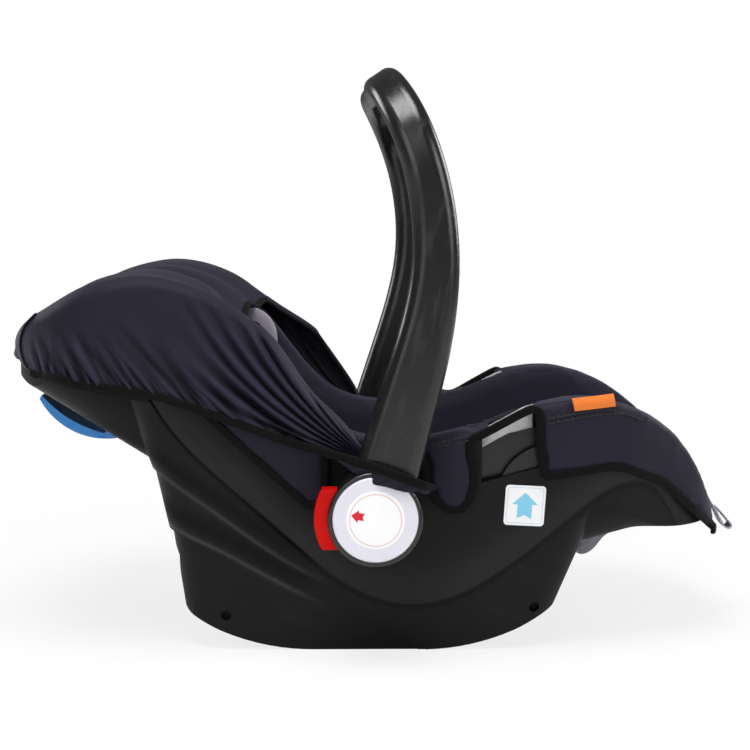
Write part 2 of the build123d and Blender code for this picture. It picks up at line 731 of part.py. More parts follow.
ADJUSTER_HIGH = 15.0
LEVER_HALF_X = 13.0
LEVER_HALF_Y = 14.0
LEVER_PROUD = 4.0
LEVER_DEEP = 5.0          # how far the button reaches into the housing
STRAP_FLOOR = 1.5         # housing under the strap's way
STRAP_WAY = 3.0


def make_adjuster():
    """Housing with a well for the release button and a way through for the strap."""
    low = LIP_Z + WALL
    x0 = FRONT_SLOT_X - ADJUSTER_HALF_X
    x1 = FRONT_SLOT_X + ADJUSTER_HALF_X
    body = slab(x0, x1, -ADJUSTER_HALF_Y, ADJUSTER_HALF_Y, low, low + ADJUSTER_HIGH)
    body = fillet(body.edges().filter_by(Axis.Z), 5)
    well = LEVER_TRAVEL + LEVER_DEEP
    body -= slab(FRONT_SLOT_X - LEVER_HALF_X - GAP, FRONT_SLOT_X + LEVER_HALF_X + GAP, -LEVER_HALF_Y - GAP,
                 LEVER_HALF_Y + GAP, low + ADJUSTER_HIGH - well, TOP)
    half = WEBBING_WIDTH / 2 + GAP
    way = low + STRAP_FLOOR + STRAP_WAY
    body -= slab(FRONT_SLOT_X - WEBBING, FRONT_SLOT_X + WEBBING, -half, half, UNDER, way)
    body -= slab(FRONT_SLOT_X - WEBBING, x1 + 1, -half, half, low + STRAP_FLOOR, way)
    return body


def make_lever():
    """Release button of the adjuster."""
    top = LIP_Z + WALL + ADJUSTER_HIGH + LEVER_PROUD
    low = LIP_Z + WALL + ADJUSTER_HIGH - LEVER_DEEP + GAP
    lever = slab(FRONT_SLOT_X - LEVER_HALF_X, FRONT_SLOT_X + LEVER_HALF_X, -LEVER_HALF_Y, LEVER_HALF_Y,
                 low, top)
    return fillet(lever.edges().filter_by(Axis.Z), 4)


def make_lever_spring():
    """Dished spring washer under the release button."""
    low = LIP_Z + WALL + ADJUSTER_HIGH - LEVER_TRAVEL - LEVER_DEEP
    return Pos(FRONT_SLOT_X, 0, low) * dished_washer(5, 10, LEVER_TRAVEL + GAP, SPRING_LEAF)


def make_adjuster_strap():
    """From the yoke along under the bowl, out through the base and up into the adjuster in a loose loop."""
    points = [
        flat(back_point(YOKE_UP - 22, -WEBBING)), flat(bight_point(-16)), flat(seat_point(120, -14)),
        (204, TUCK_SLOT_Z), (238, TUCK_SLOT_Z + 4), (FRONT_SLOT_X, 100), (FRONT_SLOT_X, LIP_Z + WALL + 2.6),
    ]
    return webbing(points, [60, 40, 30, 16, 14], 0)


PULL_ROUTE = [
    (FRONT_SLOT_X + 4, LIP_Z + WALL + 3.1), (FRONT_SLOT_X + 25, LIP_Z + WALL + 3.1),
    (FRONT_SLOT_X + 29, LIP_Z + WALL + LINER + 3), (SHELL_FRONT - 29, LIP_Z + 60),
    (SHELL_FRONT - 15, LIP_Z + 60), (SHELL_FRONT + COVER + 5, LIP_Z + 8),
    (SHELL_FRONT + 26, LIP_Z - 10), (SHELL_FRONT + 38, LIP_Z - 27),
]


def make_pull_strap():
    """Free tail of the adjuster strap over the front lip."""
    return webbing(PULL_ROUTE, [3, 4, 12, 8, 20, 20], 0)


def make_yoke():
    """Steel yoke behind the back that joins both shoulder straps to the adjuster strap."""
    off = -2 * WEBBING - GAP - 1.5
    place = Plane(back_point(YOKE_UP - 4, off), x_dir=(0, 1, 0), z_dir=OFF_BACK)
    plate = extrude(RectangleRounded(2 * STRAP_Y + WEBBING_WIDTH + 12, 34, 8), amount=2)
    for x, y in ((STRAP_Y, 8), (-STRAP_Y, 8), (0, -9)):
        plate -= Pos(x, y) * Box(WEBBING_WIDTH + 3, 4.5, 20)
    return place * plate


# Handle and its locking hubs, built on the left side and mirrored

ARM_IN = SHELL_HALF + HOOD_OUT + ARM_GAP
HUB_OUT = ARM_IN + HUB_THICK
ARM_MID = ARM_IN + ARM_THICK / 2
POCKET = ARM_IN + SOCKET_LAP + GAP        # start of the toothed pocket
GEAR_IN = POCKET + GAP
WEB_IN = GEAR_IN + GEAR_THICK + GEAR_TRAVEL + 0.9
WEB = 2.0
PLATE_IN = WEB_IN + WEB + 2.3
PLATE = 1.6
PAD_IN = 9.0              # thumb pad, towards the shell from its plate
PAD_OUT = 6.0
CAP_IN = HUB_OUT - 4.0
POST_Z = 17.0
POST_R = 2.4
POST_HEAD = 4.4
WEB_HOLE = SPIGOT_R + GAP
WASHER_R = POST_Z - POST_R - 2 * GAP       # washer of the pivot bolt, inside the ring of the posts


def spine():
    """Side view of an arm: it leans forward from the hub and curls back to the grip."""
    return Spline((HUB_X + 4, HUB_Z + 14), (HUB_X + 34, HUB_Z + 120), (HUB_X + 54, HUB_Z + 226),
                  (HUB_X + 44, HUB_Z + 0.8 * BAR_RISE), (HUB_X + 9, HUB_Z + BAR_RISE))


def handle_section(share, y, turn, wide, thick):
    """Rounded section of the handle, square to its run."""
    line = spine()
    along = line % share
    along = Vector(along.X, 0, along.Y)
    spot = line @ share
    normal = Vector(along.Z, 0, -along.X)
    swing = math.radians(turn)
    run = along * math.cos(swing) - Vector(0, 1, 0) * math.sin(swing)
    place = Plane((spot.X, y, spot.Y), x_dir=normal, z_dir=run)
    return place * RectangleRounded(wide, thick, 0.47 * thick)


ARM_WIDTHS = [58.0, 57.0, 54.5, 51.0, 46.5, 42.5, 40.0]
BEND_WIDE = 38.0
BEND_STATIONS = 4


def make_bow():
    """Both arms and the grip as one loft from hub to hub."""
    bend_share = BEND / spine().length
    straight = 1 - bend_share
    stations = []
    for count, wide in enumerate(ARM_WIDTHS):
        stations.append((straight * count / len(ARM_WIDTHS), ARM_MID, 0, wide, ARM_THICK))
    for count in range(BEND_STATIONS):
        share = count / BEND_STATIONS
        swing = math.radians(90 * share)
        wide = BEND_WIDE + (BAR_WIDE - BEND_WIDE) * share
        thick = ARM_THICK + (BAR_THICK - ARM_THICK) * share
        stations.append((straight + bend_share * math.sin(swing), ARM_MID - BEND * (1 - math.cos(swing)),
                         90 * share, wide, thick))
    bar_half = ARM_MID - BEND
    stations += [(1.0, bar_half * share, 90, BAR_WIDE, BAR_THICK) for share in (1.0, 0.4)]
    far_side = [(share, -y, 180 - turn, wide, thick) for share, y, turn, wide, thick in reversed(stations)]
    return loft([handle_section(*station) for station in stations + far_side])


def hub_bar(radius, start, end):
    """Round bar on the left hub axis."""
    return across(radius, HUB_X, HUB_Z, start, end)


def gear_face(grow=0.0):
    """Toothed outline about the hub axis, grown by a clearance."""
    points = []
    pitch = 360.0 / TEETH
    for count in range(TEETH):
        for radius, share in ((TOOTH_ROOT, -0.29), (TOOTH_OUT, -0.17), (TOOTH_OUT, 0.17), (TOOTH_ROOT, 0.29)):
            spread = math.degrees(grow / radius) * math.copysign(1, share)
            angle = math.radians(pitch * (count + share) + spread)
            points.append(((radius + grow) * math.cos(angle), (radius + grow) * math.sin(angle)))
    return make_face(Polyline(*points, close=True))


def gear_bar(start, end, grow=0.0):
    """Toothed bar on the left hub axis."""
    place = Plane((HUB_X, start, HUB_Z), x_dir=(1, 0, 0), z_dir=(0, 1, 0))
    return extrude(place * gear_face(grow), amount=end - start)


def posts(radius, start, end, travel=0.0):
    """The two lifting posts of the lock gear, or slots for them along the button's travel."""
    made = []
    for z in (HUB_Z - POST_Z, HUB_Z + POST_Z):
        bar = across(radius, HUB_X, z, start, end)
        if travel:
            bar += across(radius, HUB_X - travel, z, start, end)
            bar += slab(HUB_X - travel, HUB_X, start, end, z - radius, z + radius)
        made.append(bar)
    return made[0] + made[1]


def hub_room():
    """Everything cut out of the left hub housing: bearing, toothed pocket, button and cap."""
    room = HUB_X - HUB_R + 16
    cut = hub_bar(SOCKET_R + RUN, ARM_IN - ARM_GAP, POCKET)
    cut += gear_bar(POCKET - 0.5, WEB_IN, TOOTH_GAP)
    cut += hub_bar(WEB_HOLE, WEB_IN - 0.5, WEB_IN + WEB + 1)
    cut += posts(POST_R + GAP, WEB_IN - 0.5, WEB_IN + WEB + 1)
    cut += slab(room, HUB_X + 22, WEB_IN + WEB, CAP_IN + 1, HUB_Z - BUTTON_HALF + 0.5,
                HUB_Z + BUTTON_HALF - 0.5)
    cut += slab(HUB_X - BUTTON_REACH - 8, room + 0.5, PLATE_IN - PAD_IN - 0.5, PLATE_IN + PAD_OUT + 0.5,
                HUB_Z - BUTTON_HALF - GAP, HUB_Z + BUTTON_HALF + GAP)
    return cut + hub_bar(CAP_R + GAP, CAP_IN, HUB_OUT + 5)


def make_handle():
    """Both arms and the grip in one piece with the two hub housings."""
    hub = hub_bar(HUB_R, ARM_IN, HUB_OUT)
    hub = fillet(hub.edges().sort_by(Axis.Y)[-1:], 2.5)
    room = hub_room()
    return make_bow() + hub + other_side(hub) - room - other_side(room)


def make_cap():
    """Shallow domed cap that closes the hub, relieved inside for the lock."""
    cap = hub_bar(CAP_R, CAP_IN, CAP_IN + CAP_THICK)
    cap = fillet(cap.edges().sort_by(Axis.Y)[-1:], 1.6)
    return cap - hub_bar(CAP_R - 9, CAP_IN - 1, CAP_IN + CAP_THICK - 1.8)


def make_button():
    """Thumb pad on a plate whose two ramps lift the lock gear's posts."""
    pad = hub_bar(BUTTON_REACH, PLATE_IN - PAD_IN, PLATE_IN + PAD_OUT)
    pad &= slab(HUB_X - BUTTON_REACH - 1, HUB_X - HUB_R + 9, 0, SPAN, HUB_Z - BUTTON_HALF,
                HUB_Z + BUTTON_HALF)
    plate = slab(HUB_X - HUB_R + 5, HUB_X + 14, PLATE_IN, PLATE_IN + PLATE, HUB_Z - 24, HUB_Z + 24)
    plate -= posts(POST_R + GAP, PLATE_IN - 1, PLATE_IN + PLATE + 1, BUTTON_TRAVEL)
    plate -= slab(HUB_X - SPIGOT_R - BUTTON_TRAVEL - GAP, HUB_X + 20, PLATE_IN - 1, PLATE_IN + PLATE + 1,
                  HUB_Z - SPIGOT_R - GAP, HUB_Z + SPIGOT_R + GAP)
    top = PLATE_IN + PLATE
    run = BUTTON_TRAVEL + 1
    start = HUB_X - POST_HEAD + 1
    rise = run * GEAR_TRAVEL / BUTTON_TRAVEL
    ramp_line = Polyline((start, top), (start - run, top + rise), (start - run, top), close=True)
    ramp_face = Plane.XY * make_face(ramp_line)
    for z in (HUB_Z - POST_Z, HUB_Z + POST_Z):
        ramp = Pos(0, 0, z) * extrude(ramp_face, amount=POST_HEAD, both=True)
        plate += ramp - posts(POST_R + GAP, top - 1, top + 2 * rise, BUTTON_TRAVEL)
    return pad + plate


def make_gear():
    """Lock gear with two headed posts and a pocket for its spring."""
    gear = gear_bar(GEAR_IN, GEAR_IN + GEAR_THICK)
    gear -= hub_bar(SPIGOT_R + GAP, GEAR_IN - 1, GEAR_IN + GEAR_THICK + 1)
    gear -= hub_bar(14.0, GEAR_IN + 2, GEAR_IN + GEAR_THICK + 1)
    head = PLATE_IN + PLATE + 0.5 + GAP
    gear += posts(POST_R, GEAR_IN + GEAR_THICK - 1, head + 1)
    gear += posts(POST_HEAD, head, head + 1.8)
    return gear


def make_lock_spring():
    """Dished washer that pushes the lock gear towards the shell."""
    low = GEAR_IN + 2
    place = Plane((HUB_X, low, HUB_Z), x_dir=(1, 0, 0), z_dir=(0, 1, 0))
    return place * dished_washer(SPIGOT_R + 0.8, 13.6, WEB_IN - low, SPRING_LEAF)


def make_socket():
    """Toothed socket on the outside of the shell that the handle turns on."""
    socket = hub_bar(SOCKET_R, SHELL_HALF - 40, ARM_IN + SOCKET_LAP)
    socket -= gear_bar(ARM_IN + SOCKET_LAP - 9, SPAN, TOOTH_GAP)
    socket += hub_bar(SPIGOT_R, ARM_IN + SOCKET_LAP - 10, WEB_IN + WEB - 0.2)
    socket -= hub_bar(BOLT_R + RUN, 0, SPAN)
    return socket - envelope()


def make_bolt():
    """Pivot bolt, with a washer that keeps the handle on its socket."""
    seat = WEB_IN + WEB - 0.2
    bolt = hub_bar(BOLT_R, BOWL_HALF + 1, seat + 1)
    washer = hub_bar(WASHER_R, seat + 0.5, seat + 1.8)
    head = hub_bar(7.0, seat + 1.8, seat + 5.5)
    return bolt + hub_bar(SPIGOT_R - 1, seat, seat + 0.6) + washer + head


def make_nut():
    """Nut behind the side wall, its face following the lean of the wall."""
    nut = hub_bar(7.0, BOWL_HALF + 1.2, SHELL_HALF) & envelope(-WALL)
    return nut - hub_bar(BOLT_R, 0, SPAN)


# Build and write every node

shell = make_shell()
hook = make_hook()
guide = make_guide()
screws = hook_screws()
for screw in screws:
    shell -= screw
    hook -= screw
save("seat_shell", shell)
save("belt_hook", hook)
save("belt_hook_screws", *screws)
save_pair("lap_belt_guide", guide)
save("seat_cover", make_cover())
save("hood", make_hood())
save("body_cushion", make_cushion())
save("head_pillow", make_pillow())

save_pair("shoulder_strap", make_shoulder_strap())
save_pair("shoulder_pad", make_shoulder_pad())
place = buckle_place()
save("buckle_body", place * make_buckle())
save("buckle_button", place * make_buckle_button())
save("buckle_spring", place * make_buckle_spring())
save_pair("buckle_tongue", place * make_tongue())
save("crotch_strap", make_crotch_strap())
save("crotch_anchor", make_anchor_bar())
save("adjuster_body", make_adjuster())
save("adjuster_button", make_lever())
save("adjuster_spring", make_lever_spring())
save("adjuster_strap", make_adjuster_strap())
save("pull_strap", make_pull_strap())
save("harness_yoke", make_yoke())

save("carry_handle", make_handle())
save_pair("hub_cap", make_cap())
save_pair("release_button", make_button())
save_pair("lock_gear", make_gear())
save_pair("lock_spring", make_lock_spring())
save_pair("hub_socket", make_socket())
save_pair("pivot_bolt", make_bolt())
save_pair("pivot_nut", make_nut())
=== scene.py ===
"""Infant car seat: soft goods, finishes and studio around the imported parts.

The seat faces +X, +Y is the infant's left and +Z is up. Routes and places are written in
millimetres, as on a drawing, and meshes are made in metres.
"""

import math

import bmesh
import bpy
import numpy as np
from bpy.props import FloatProperty, FloatVectorProperty, IntProperty, PointerProperty
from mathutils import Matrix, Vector


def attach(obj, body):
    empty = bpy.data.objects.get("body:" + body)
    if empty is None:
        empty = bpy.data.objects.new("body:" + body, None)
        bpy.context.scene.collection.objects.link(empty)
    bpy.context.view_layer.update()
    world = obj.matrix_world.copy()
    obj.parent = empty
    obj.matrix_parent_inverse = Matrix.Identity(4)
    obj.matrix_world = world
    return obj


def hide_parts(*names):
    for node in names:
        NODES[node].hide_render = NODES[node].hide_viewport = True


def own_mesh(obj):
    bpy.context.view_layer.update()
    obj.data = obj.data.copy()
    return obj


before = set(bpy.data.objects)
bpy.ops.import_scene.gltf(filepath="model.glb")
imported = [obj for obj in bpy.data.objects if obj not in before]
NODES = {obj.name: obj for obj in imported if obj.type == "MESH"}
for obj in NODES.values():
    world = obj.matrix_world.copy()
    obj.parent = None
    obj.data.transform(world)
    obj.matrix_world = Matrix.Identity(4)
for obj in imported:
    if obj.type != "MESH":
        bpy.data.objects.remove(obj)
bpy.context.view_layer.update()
MM = 0.001

bl_info = {
    "name": "Infant car seat dressing",
    "version": (1, 0, 0),
    "blender": (4, 5, 0),
    "location": "View3D > Sidebar > Car Seat",
    "description": "Cover, hood, insert, belts, labels and studio for an infant car seat",
    "category": "Object",
}


# What a user would change

class CoverSettings(bpy.types.PropertyGroup):
    """Sizes of the fabric cover and its trim."""

    voxel: FloatProperty(name="Voxel", description="Mesh size of the cover", default=0.0042, unit="LENGTH")
    swell: FloatProperty(
        name="Swell", description="Most that the padding swells", default=0.0032, unit="LENGTH")
    binding_width: FloatProperty(
        name="Binding width", description="Width of the black edge binding", default=0.0078, unit="LENGTH")
    binding_depth: FloatProperty(
        name="Binding depth", description="Thickness of the black edge binding", default=0.0046,
        unit="LENGTH")
    stitch_pitch: FloatProperty(
        name="Stitch pitch", description="Distance from stitch to stitch", default=0.0042, unit="LENGTH")


class HoodSettings(bpy.types.PropertyGroup):
    """Sizes of the folded hood."""

    thickness: FloatProperty(
        name="Cloth", description="Thickness of the cloth", default=0.0014, unit="LENGTH")
    sag: FloatProperty(
        name="Sag", description="How far the roof hangs in the middle", default=0.006, unit="LENGTH")
    pleat_depth: FloatProperty(
        name="Pleats", description="Depth of the creases", default=0.0062, unit="LENGTH")
    pleats: IntProperty(name="Gathers", description="Creases along the hem", default=31, min=4)
    hem_width: FloatProperty(
        name="Hem", description="Width of the elastic hem", default=0.0082, unit="LENGTH")


class InsertSettings(bpy.types.PropertyGroup):
    """Stuffing of the infant insert."""

    voxel: FloatProperty(name="Voxel", description="Mesh size of the pads", default=0.005, unit="LENGTH")
    pressure: FloatProperty(name="Pressure", description="Air pressure of the cloth simulation", default=4.0)
    swell: FloatProperty(name="Swell", description="Most that a pad swells", default=0.007, unit="LENGTH")


class ColourSettings(bpy.types.PropertyGroup):
    """Base colours, linear."""

    shell: FloatVectorProperty(
        name="Shell", description="Moulded shell and handle", subtype="COLOR",
        default=(0.0088, 0.0084, 0.0092))
    fabric: FloatVectorProperty(
        name="Fabric", description="Cover and hood", subtype="COLOR", default=(0.0092, 0.0083, 0.0158))
    trim: FloatVectorProperty(
        name="Trim", description="Binding and elastic", subtype="COLOR", default=(0.0030, 0.0029, 0.0032))
    insert: FloatVectorProperty(
        name="Insert", description="Infant insert", subtype="COLOR", default=(0.125, 0.110, 0.148))
    belt: FloatVectorProperty(
        name="Belts", description="Harness webbing", subtype="COLOR", default=(0.46, 0.45, 0.51))
    button: FloatVectorProperty(
        name="Buttons", description="Release buttons", subtype="COLOR", default=(0.52, 0.003, 0.001))
    hook: FloatVectorProperty(
        name="Belt hook", description="Shoulder belt hook", subtype="COLOR", default=(0.03, 0.27, 0.72))
    cap: FloatVectorProperty(
        name="Hub caps", description="Silver paint", subtype="COLOR", default=(0.74, 0.72, 0.80))
    tag: FloatVectorProperty(
        name="Tag", description="Woven tag", subtype="COLOR", default=(0.86, 0.20, 0.018))
    arrow: FloatVectorProperty(
        name="Belt arrow", description="Arrow on the square label", subtype="COLOR",
        default=(0.22, 0.58, 0.80))


class StudioSettings(bpy.types.PropertyGroup):
    """Camera and lamps."""

    lens: FloatProperty(name="Lens", description="Focal length in millimetres", default=87.1)
    camera_place: FloatVectorProperty(
        name="Camera", description="Where the camera stands", subtype="TRANSLATION", unit="LENGTH",
        default=(-0.0355, -1.820, 0.432))
    yaw: FloatProperty(
        name="Yaw", description="Turn towards the feet", subtype="ANGLE", default=math.radians(1.421))
    pitch: FloatProperty(
        name="Pitch", description="Tilt downwards", subtype="ANGLE", default=math.radians(5.821))
    sky: FloatProperty(name="Sky", description="Strength of the surrounding light", default=0.12)


class SeatSettings(bpy.types.PropertyGroup):
    """All settings of the dressing."""

    cover: PointerProperty(type=CoverSettings)
    hood: PointerProperty(type=HoodSettings)
    insert: PointerProperty(type=InsertSettings)
    colours: PointerProperty(type=ColourSettings)
    studio: PointerProperty(type=StudioSettings)


def settings():
    """The settings of the current scene."""
    return bpy.context.scene.car_seat


# Lines and surfaces

def smooth_line(points, count):
    """Catmull-Rom curve through the points, resampled to even steps.

    On the span from b to c, with neighbours a and d:
    p(t) = (2b + (c - a)t + (2a - 5b + 4c - d)t^2 + (3b - a - 3c + d)t^3) / 2.
    """
    p = np.asarray(points, float)
    p = np.vstack([2 * p[0] - p[1], p, 2 * p[-1] - p[-2]])
    t = np.linspace(0, 1, 24, endpoint=False)[None, :, None]
    a, b, c, d = (p[k:len(p) - 3 + k, None, :] for k in range(4))
    cubic = (3 * b - a - 3 * c + d) * t ** 3
    spans = (2 * b + (c - a) * t + (2 * a - 5 * b + 4 * c - d) * t ** 2 + cubic) / 2
    return even_steps(np.vstack([spans.reshape(-1, p.shape[1]), p[-2]]), count)


def runs(line):
    """Distance of each point from the start, along the line."""
    return np.concatenate([[0], np.cumsum(np.linalg.norm(np.diff(line, axis=0), axis=1))])


def sampled(at, run, line):
    """Points of a line at given runs."""
    return np.stack([np.interp(at, run, line[:, k]) for k in range(line.shape[1])], axis=1)


def even_steps(line, count):
    """The same line with points at equal distances along it."""
    run = runs(line)
    return sampled(np.linspace(0, run[-1], count), run, line)


def rounded_line(corners, radii, count):
    """Straight runs with an arc at each inner corner.

    At a corner with unit directions u back and v on, and half angle h between them, the arc has its centre
    r / sin h out along u + v and touches the runs r / tan h from the corner.
    """
    corners = np.asarray(corners, float)
    pieces = [corners[:1]]
    for before, corner, after, radius in zip(corners[:-2], corners[1:-1], corners[2:], radii):
        u = (before - corner) / np.linalg.norm(before - corner)
        v = (after - corner) / np.linalg.norm(after - corner)
        half = math.acos(np.clip(u @ v, -1, 1)) / 2
        reach = radius / math.tan(half)
        centre = corner + (u + v) / np.linalg.norm(u + v) * radius / math.sin(half)
        share = np.linspace(0, 1, 13)[:, None]
        chord = corner + u * reach * (1 - share) + v * reach * share - centre
        pieces.append(centre + chord / np.linalg.norm(chord, axis=1)[:, None] * radius)
    return even_steps(np.vstack(pieces + [corners[-1:]]), count)


def normalized(vectors):
    """Vectors of length one."""
    return vectors / np.maximum(np.linalg.norm(vectors, axis=-1, keepdims=True), 1e-9)


def smoothstep(x):
    """Smooth rise from 0 to 1: 3x^2 - 2x^3."""
    x = np.clip(x, 0, 1)
    return x * x * (3 - 2 * x)


def ramp(value, start, end):
    """Smooth rise from 0 at start to 1 at end."""
    return smoothstep((value - start) / (end - start))


def mirrored(points):
    """The same points on the other side of the seat."""
    return points * np.array([1, -1, 1])


# Shape of the shell, as the soft goods need it

SHELL_HALF = 176.0        # half width at the rim
SHELL_LEAN = 0.133        # how far a side leans in per millimetre of depth
LEAN_TOP = 240.0          # the sides stand upright above this height
SHELL_HEAD = 333.0        # from the origin back to the head end
SHELL_FRONT = 337.0       # from the origin to the front lip
HEAD_FLAT = 90.0          # half width of the blunt head end
FRONT_FLAT = 100.0        # half width of the blunt front end
HEAD_TAPER = 56.0         # length of the taper towards the head
FRONT_TAPER = 122.0       # and towards the front
PLAN_ROUNDS = (74, 105, 160, 78)      # roundings of the plan's corners, from head to front
HUB = np.array([4.6, 139.0])          # side-view place of the handle's axis
BIGHT = np.array([8.0, 45.0])         # and of the lowest line of the bowl
RECLINE = math.radians(32)
SEAT_RISE = math.radians(15)
RIM = [(-373, 250), (-299, 311), (-247, 336), (-205, 343), (-108, 295), (-27, 208), (40, 197), (119, 216),
       (205, 234), (293, 192), (337, 117), (362, 60)]


def plan_half(x, grow):
    """Half width of the upper side walls at x, with the plan outline grown outwards."""
    head = -SHELL_HEAD - grow
    front = SHELL_FRONT + grow
    half = SHELL_HALF + grow
    corners = [(head, 0), (head, HEAD_FLAT + grow / 2), (head + HEAD_TAPER, half),
               (front - FRONT_TAPER, half), (front, FRONT_FLAT + grow / 2), (front, 0)]
    radii = [size + grow / 2 for size in PLAN_ROUNDS]
    line = rounded_line(corners, radii, 900)
    return np.interp(x, line[:, 0], line[:, 1])


def wall_y(x, z, grow):
    """How far out the side wall stands at (x, z): the plan outline less the lean of the lower wall."""
    return plan_half(x, grow) - SHELL_LEAN * np.maximum(LEAN_TOP - z, 0)


def rim_height(x, rise):
    """Height of the rim line at x, lifted by rise."""
    line = smooth_line(RIM, 600)
    return np.interp(x, line[:, 0], line[:, 1]) + rise


# Meshes

CLOTH_FRAMES = 20


def as_object(name, mesh):
    """Link a mesh as a smooth-shaded object."""
    mesh.polygons.foreach_set("use_smooth", np.ones(len(mesh.polygons), bool))
    piece = bpy.data.objects.new(name, mesh)
    bpy.context.scene.collection.objects.link(piece)
    return piece


def quads(rows, columns, around=False):
    """Corner numbers of the quads of a grid, closed round its columns if asked."""
    last = columns if around else columns - 1
    r, c = np.meshgrid(np.arange(rows - 1), np.arange(last), indexing="ij")
    right = (c + 1) % columns
    here = r * columns
    below = here + columns
    return np.stack([here + c, here + right, below + right, below + c], -1).reshape(-1, 4)


def new_mesh(name, points, faces):
    """Mesh of faces on points that are given in millimetres."""
    mesh = bpy.data.meshes.new(name)
    mesh.from_pydata((points.reshape(-1, 3) * MM).tolist(), [], faces)
    return mesh


def surface(name, points, fold=None):
    """Open grid of points as a mesh; fold says how deep each point lies in a crease."""
    mesh = new_mesh(name, points, quads(*points.shape[:2]).tolist())
    if fold is not None:
        mesh.attributes.new("fold", "FLOAT", "POINT").data.foreach_set("value", fold.ravel())
    return as_object(name, mesh)


def band_points(path, outwards, width, depth, power=0.5, sides=14):
    """Rounded flat section carried along a path.

    The section is a superellipse (width/2 sgn(cos)|cos|^k, depth/2 sgn(sin)|sin|^k); its depth lies along the
    outward direction and its width across the path.
    """
    along = normalized(np.gradient(path, axis=0))
    out = normalized(outwards - along * np.sum(outwards * along, axis=1)[:, None])
    across = np.cross(along, out)
    angle = np.linspace(0, 2 * np.pi, sides, endpoint=False)
    wide = np.sign(np.cos(angle)) * np.abs(np.cos(angle)) ** power * width / 2
    deep = np.sign(np.sin(angle)) * np.abs(np.sin(angle)) ** power * depth / 2
    return path[:, None] + across[:, None] * wide[None, :, None] + out[:, None] * deep[None, :, None]


def band(name, path, outwards, width, depth, power=0.5, sides=14):
    """Closed band along a path, with rounded ends and a UV map that runs along it."""
    points = band_points(path, outwards, width, depth, power, sides)
    middle = path[:, None]
    shrink = np.ones(len(path))
    shrink[[0, -1]] = 0.35
    points = middle + (points - middle) * shrink[:, None, None]
    rows = len(path)
    caps = [list(range(sides))[::-1], list(range((rows - 1) * sides, rows * sides))]
    mesh = new_mesh(name, points, quads(rows, sides, around=True).tolist() + caps)
    turn = np.arange(sides) * (width + depth) * 2 / sides
    uv = np.stack(np.broadcast_arrays(runs(path)[:, None], turn[None, :]), -1).reshape(-1, 2) * MM
    layer = mesh.uv_layers.new(name="run")
    loops = np.empty(len(mesh.loops), int)
    mesh.loops.foreach_get("vertex_index", loops)
    layer.data.foreach_set("uv", uv[loops].ravel())
    return as_object(name, mesh)


def stitches(name, path, outwards, pitch, length, radius):
    """A row of stitches: short tapered tubes, equally spaced along a path and lying on it.

    Ring k of a stitch sits at share s_k of its length and has radius r sqrt(1 - (1.6(s_k - 0.5))^2).
    """
    count = max(int(runs(path)[-1] / pitch), 2)
    line = even_steps(path, count)
    along = normalized(np.gradient(line, axis=0))
    out = sampled(np.linspace(0, 1, count), np.linspace(0, 1, len(path)), outwards)
    out = normalized(out - along * np.sum(out * along, axis=1)[:, None])
    across = np.cross(along, out)
    share = np.linspace(0, 1, 4)
    size = radius * np.sqrt(1 - (1.6 * (share - 0.5)) ** 2)
    angle = np.linspace(0, 2 * np.pi, 6, endpoint=False)
    ring = across[:, None, None] * np.cos(angle)[None, None, :, None]
    ring = ring + out[:, None, None] * np.sin(angle)[None, None, :, None]
    points = line[:, None, None] + along[:, None, None] * ((share - 0.5) * length)[None, :, None, None]
    points = points + ring * size[None, :, None, None]
    first = quads(len(share), len(angle), around=True)
    corners = np.arange(count)[:, None, None] * share.size * angle.size + first[None]
    return as_object(name, new_mesh(name, points, corners.reshape(-1, 4).tolist()))


def joined(name, pieces):
    """Several pieces as one object; the meshes' materials and maps go with them."""
    with bpy.context.temp_override(active_object=pieces[0], selected_editable_objects=pieces):
        bpy.ops.object.join()
    pieces[0].name = name
    return pieces[0]


def with_modifier(piece, kind, **values):
    """Add a modifier to a piece."""
    modifier = piece.modifiers.new(kind.title(), kind)
    for name, value in values.items():
        setattr(modifier, name, value)
    return modifier


def applied(piece):
    """Replace a piece's mesh by what its modifiers make of it."""
    graph = bpy.context.evaluated_depsgraph_get()
    mesh = bpy.data.meshes.new_from_object(piece.evaluated_get(graph))
    piece.modifiers.clear()
    piece.data = mesh
    return piece


def points_of(mesh):
    """A mesh's points as an array."""
    flat = np.empty(len(mesh.vertices) * 3)
    mesh.vertices.foreach_get("co", flat)
    return flat.reshape(-1, 3)


def move_points(mesh, points):
    """Put an array back as a mesh's points."""
    mesh.vertices.foreach_set("co", np.ascontiguousarray(points, float).ravel())
    mesh.update()


def outward_faces(mesh):
    """Turn all faces of a mesh to point out."""
    work = bmesh.new()
    work.from_mesh(mesh)
    bmesh.ops.recalc_face_normals(work, faces=work.faces)
    work.to_mesh(mesh)
    work.free()


def mesh_area(mesh):
    """Area of a mesh in square metres."""
    sizes = np.empty(len(mesh.polygons))
    mesh.polygons.foreach_get("area", sizes)
    return float(sizes.sum())


def remeshed(node, name, voxel):
    """Merged copy of a CAD node with an even mesh."""
    piece = bpy.data.objects.new(name, NODES[node].data.copy())
    bpy.context.scene.collection.objects.link(piece)
    piece.data.materials.clear()
    with_modifier(piece, "WELD", merge_threshold=1e-5)
    with_modifier(piece, "REMESH", mode="VOXEL", voxel_size=voxel, use_smooth_shade=True)
    applied(piece)
    with_modifier(piece, "SMOOTH", factor=0.5, iterations=3)
    return applied(piece)


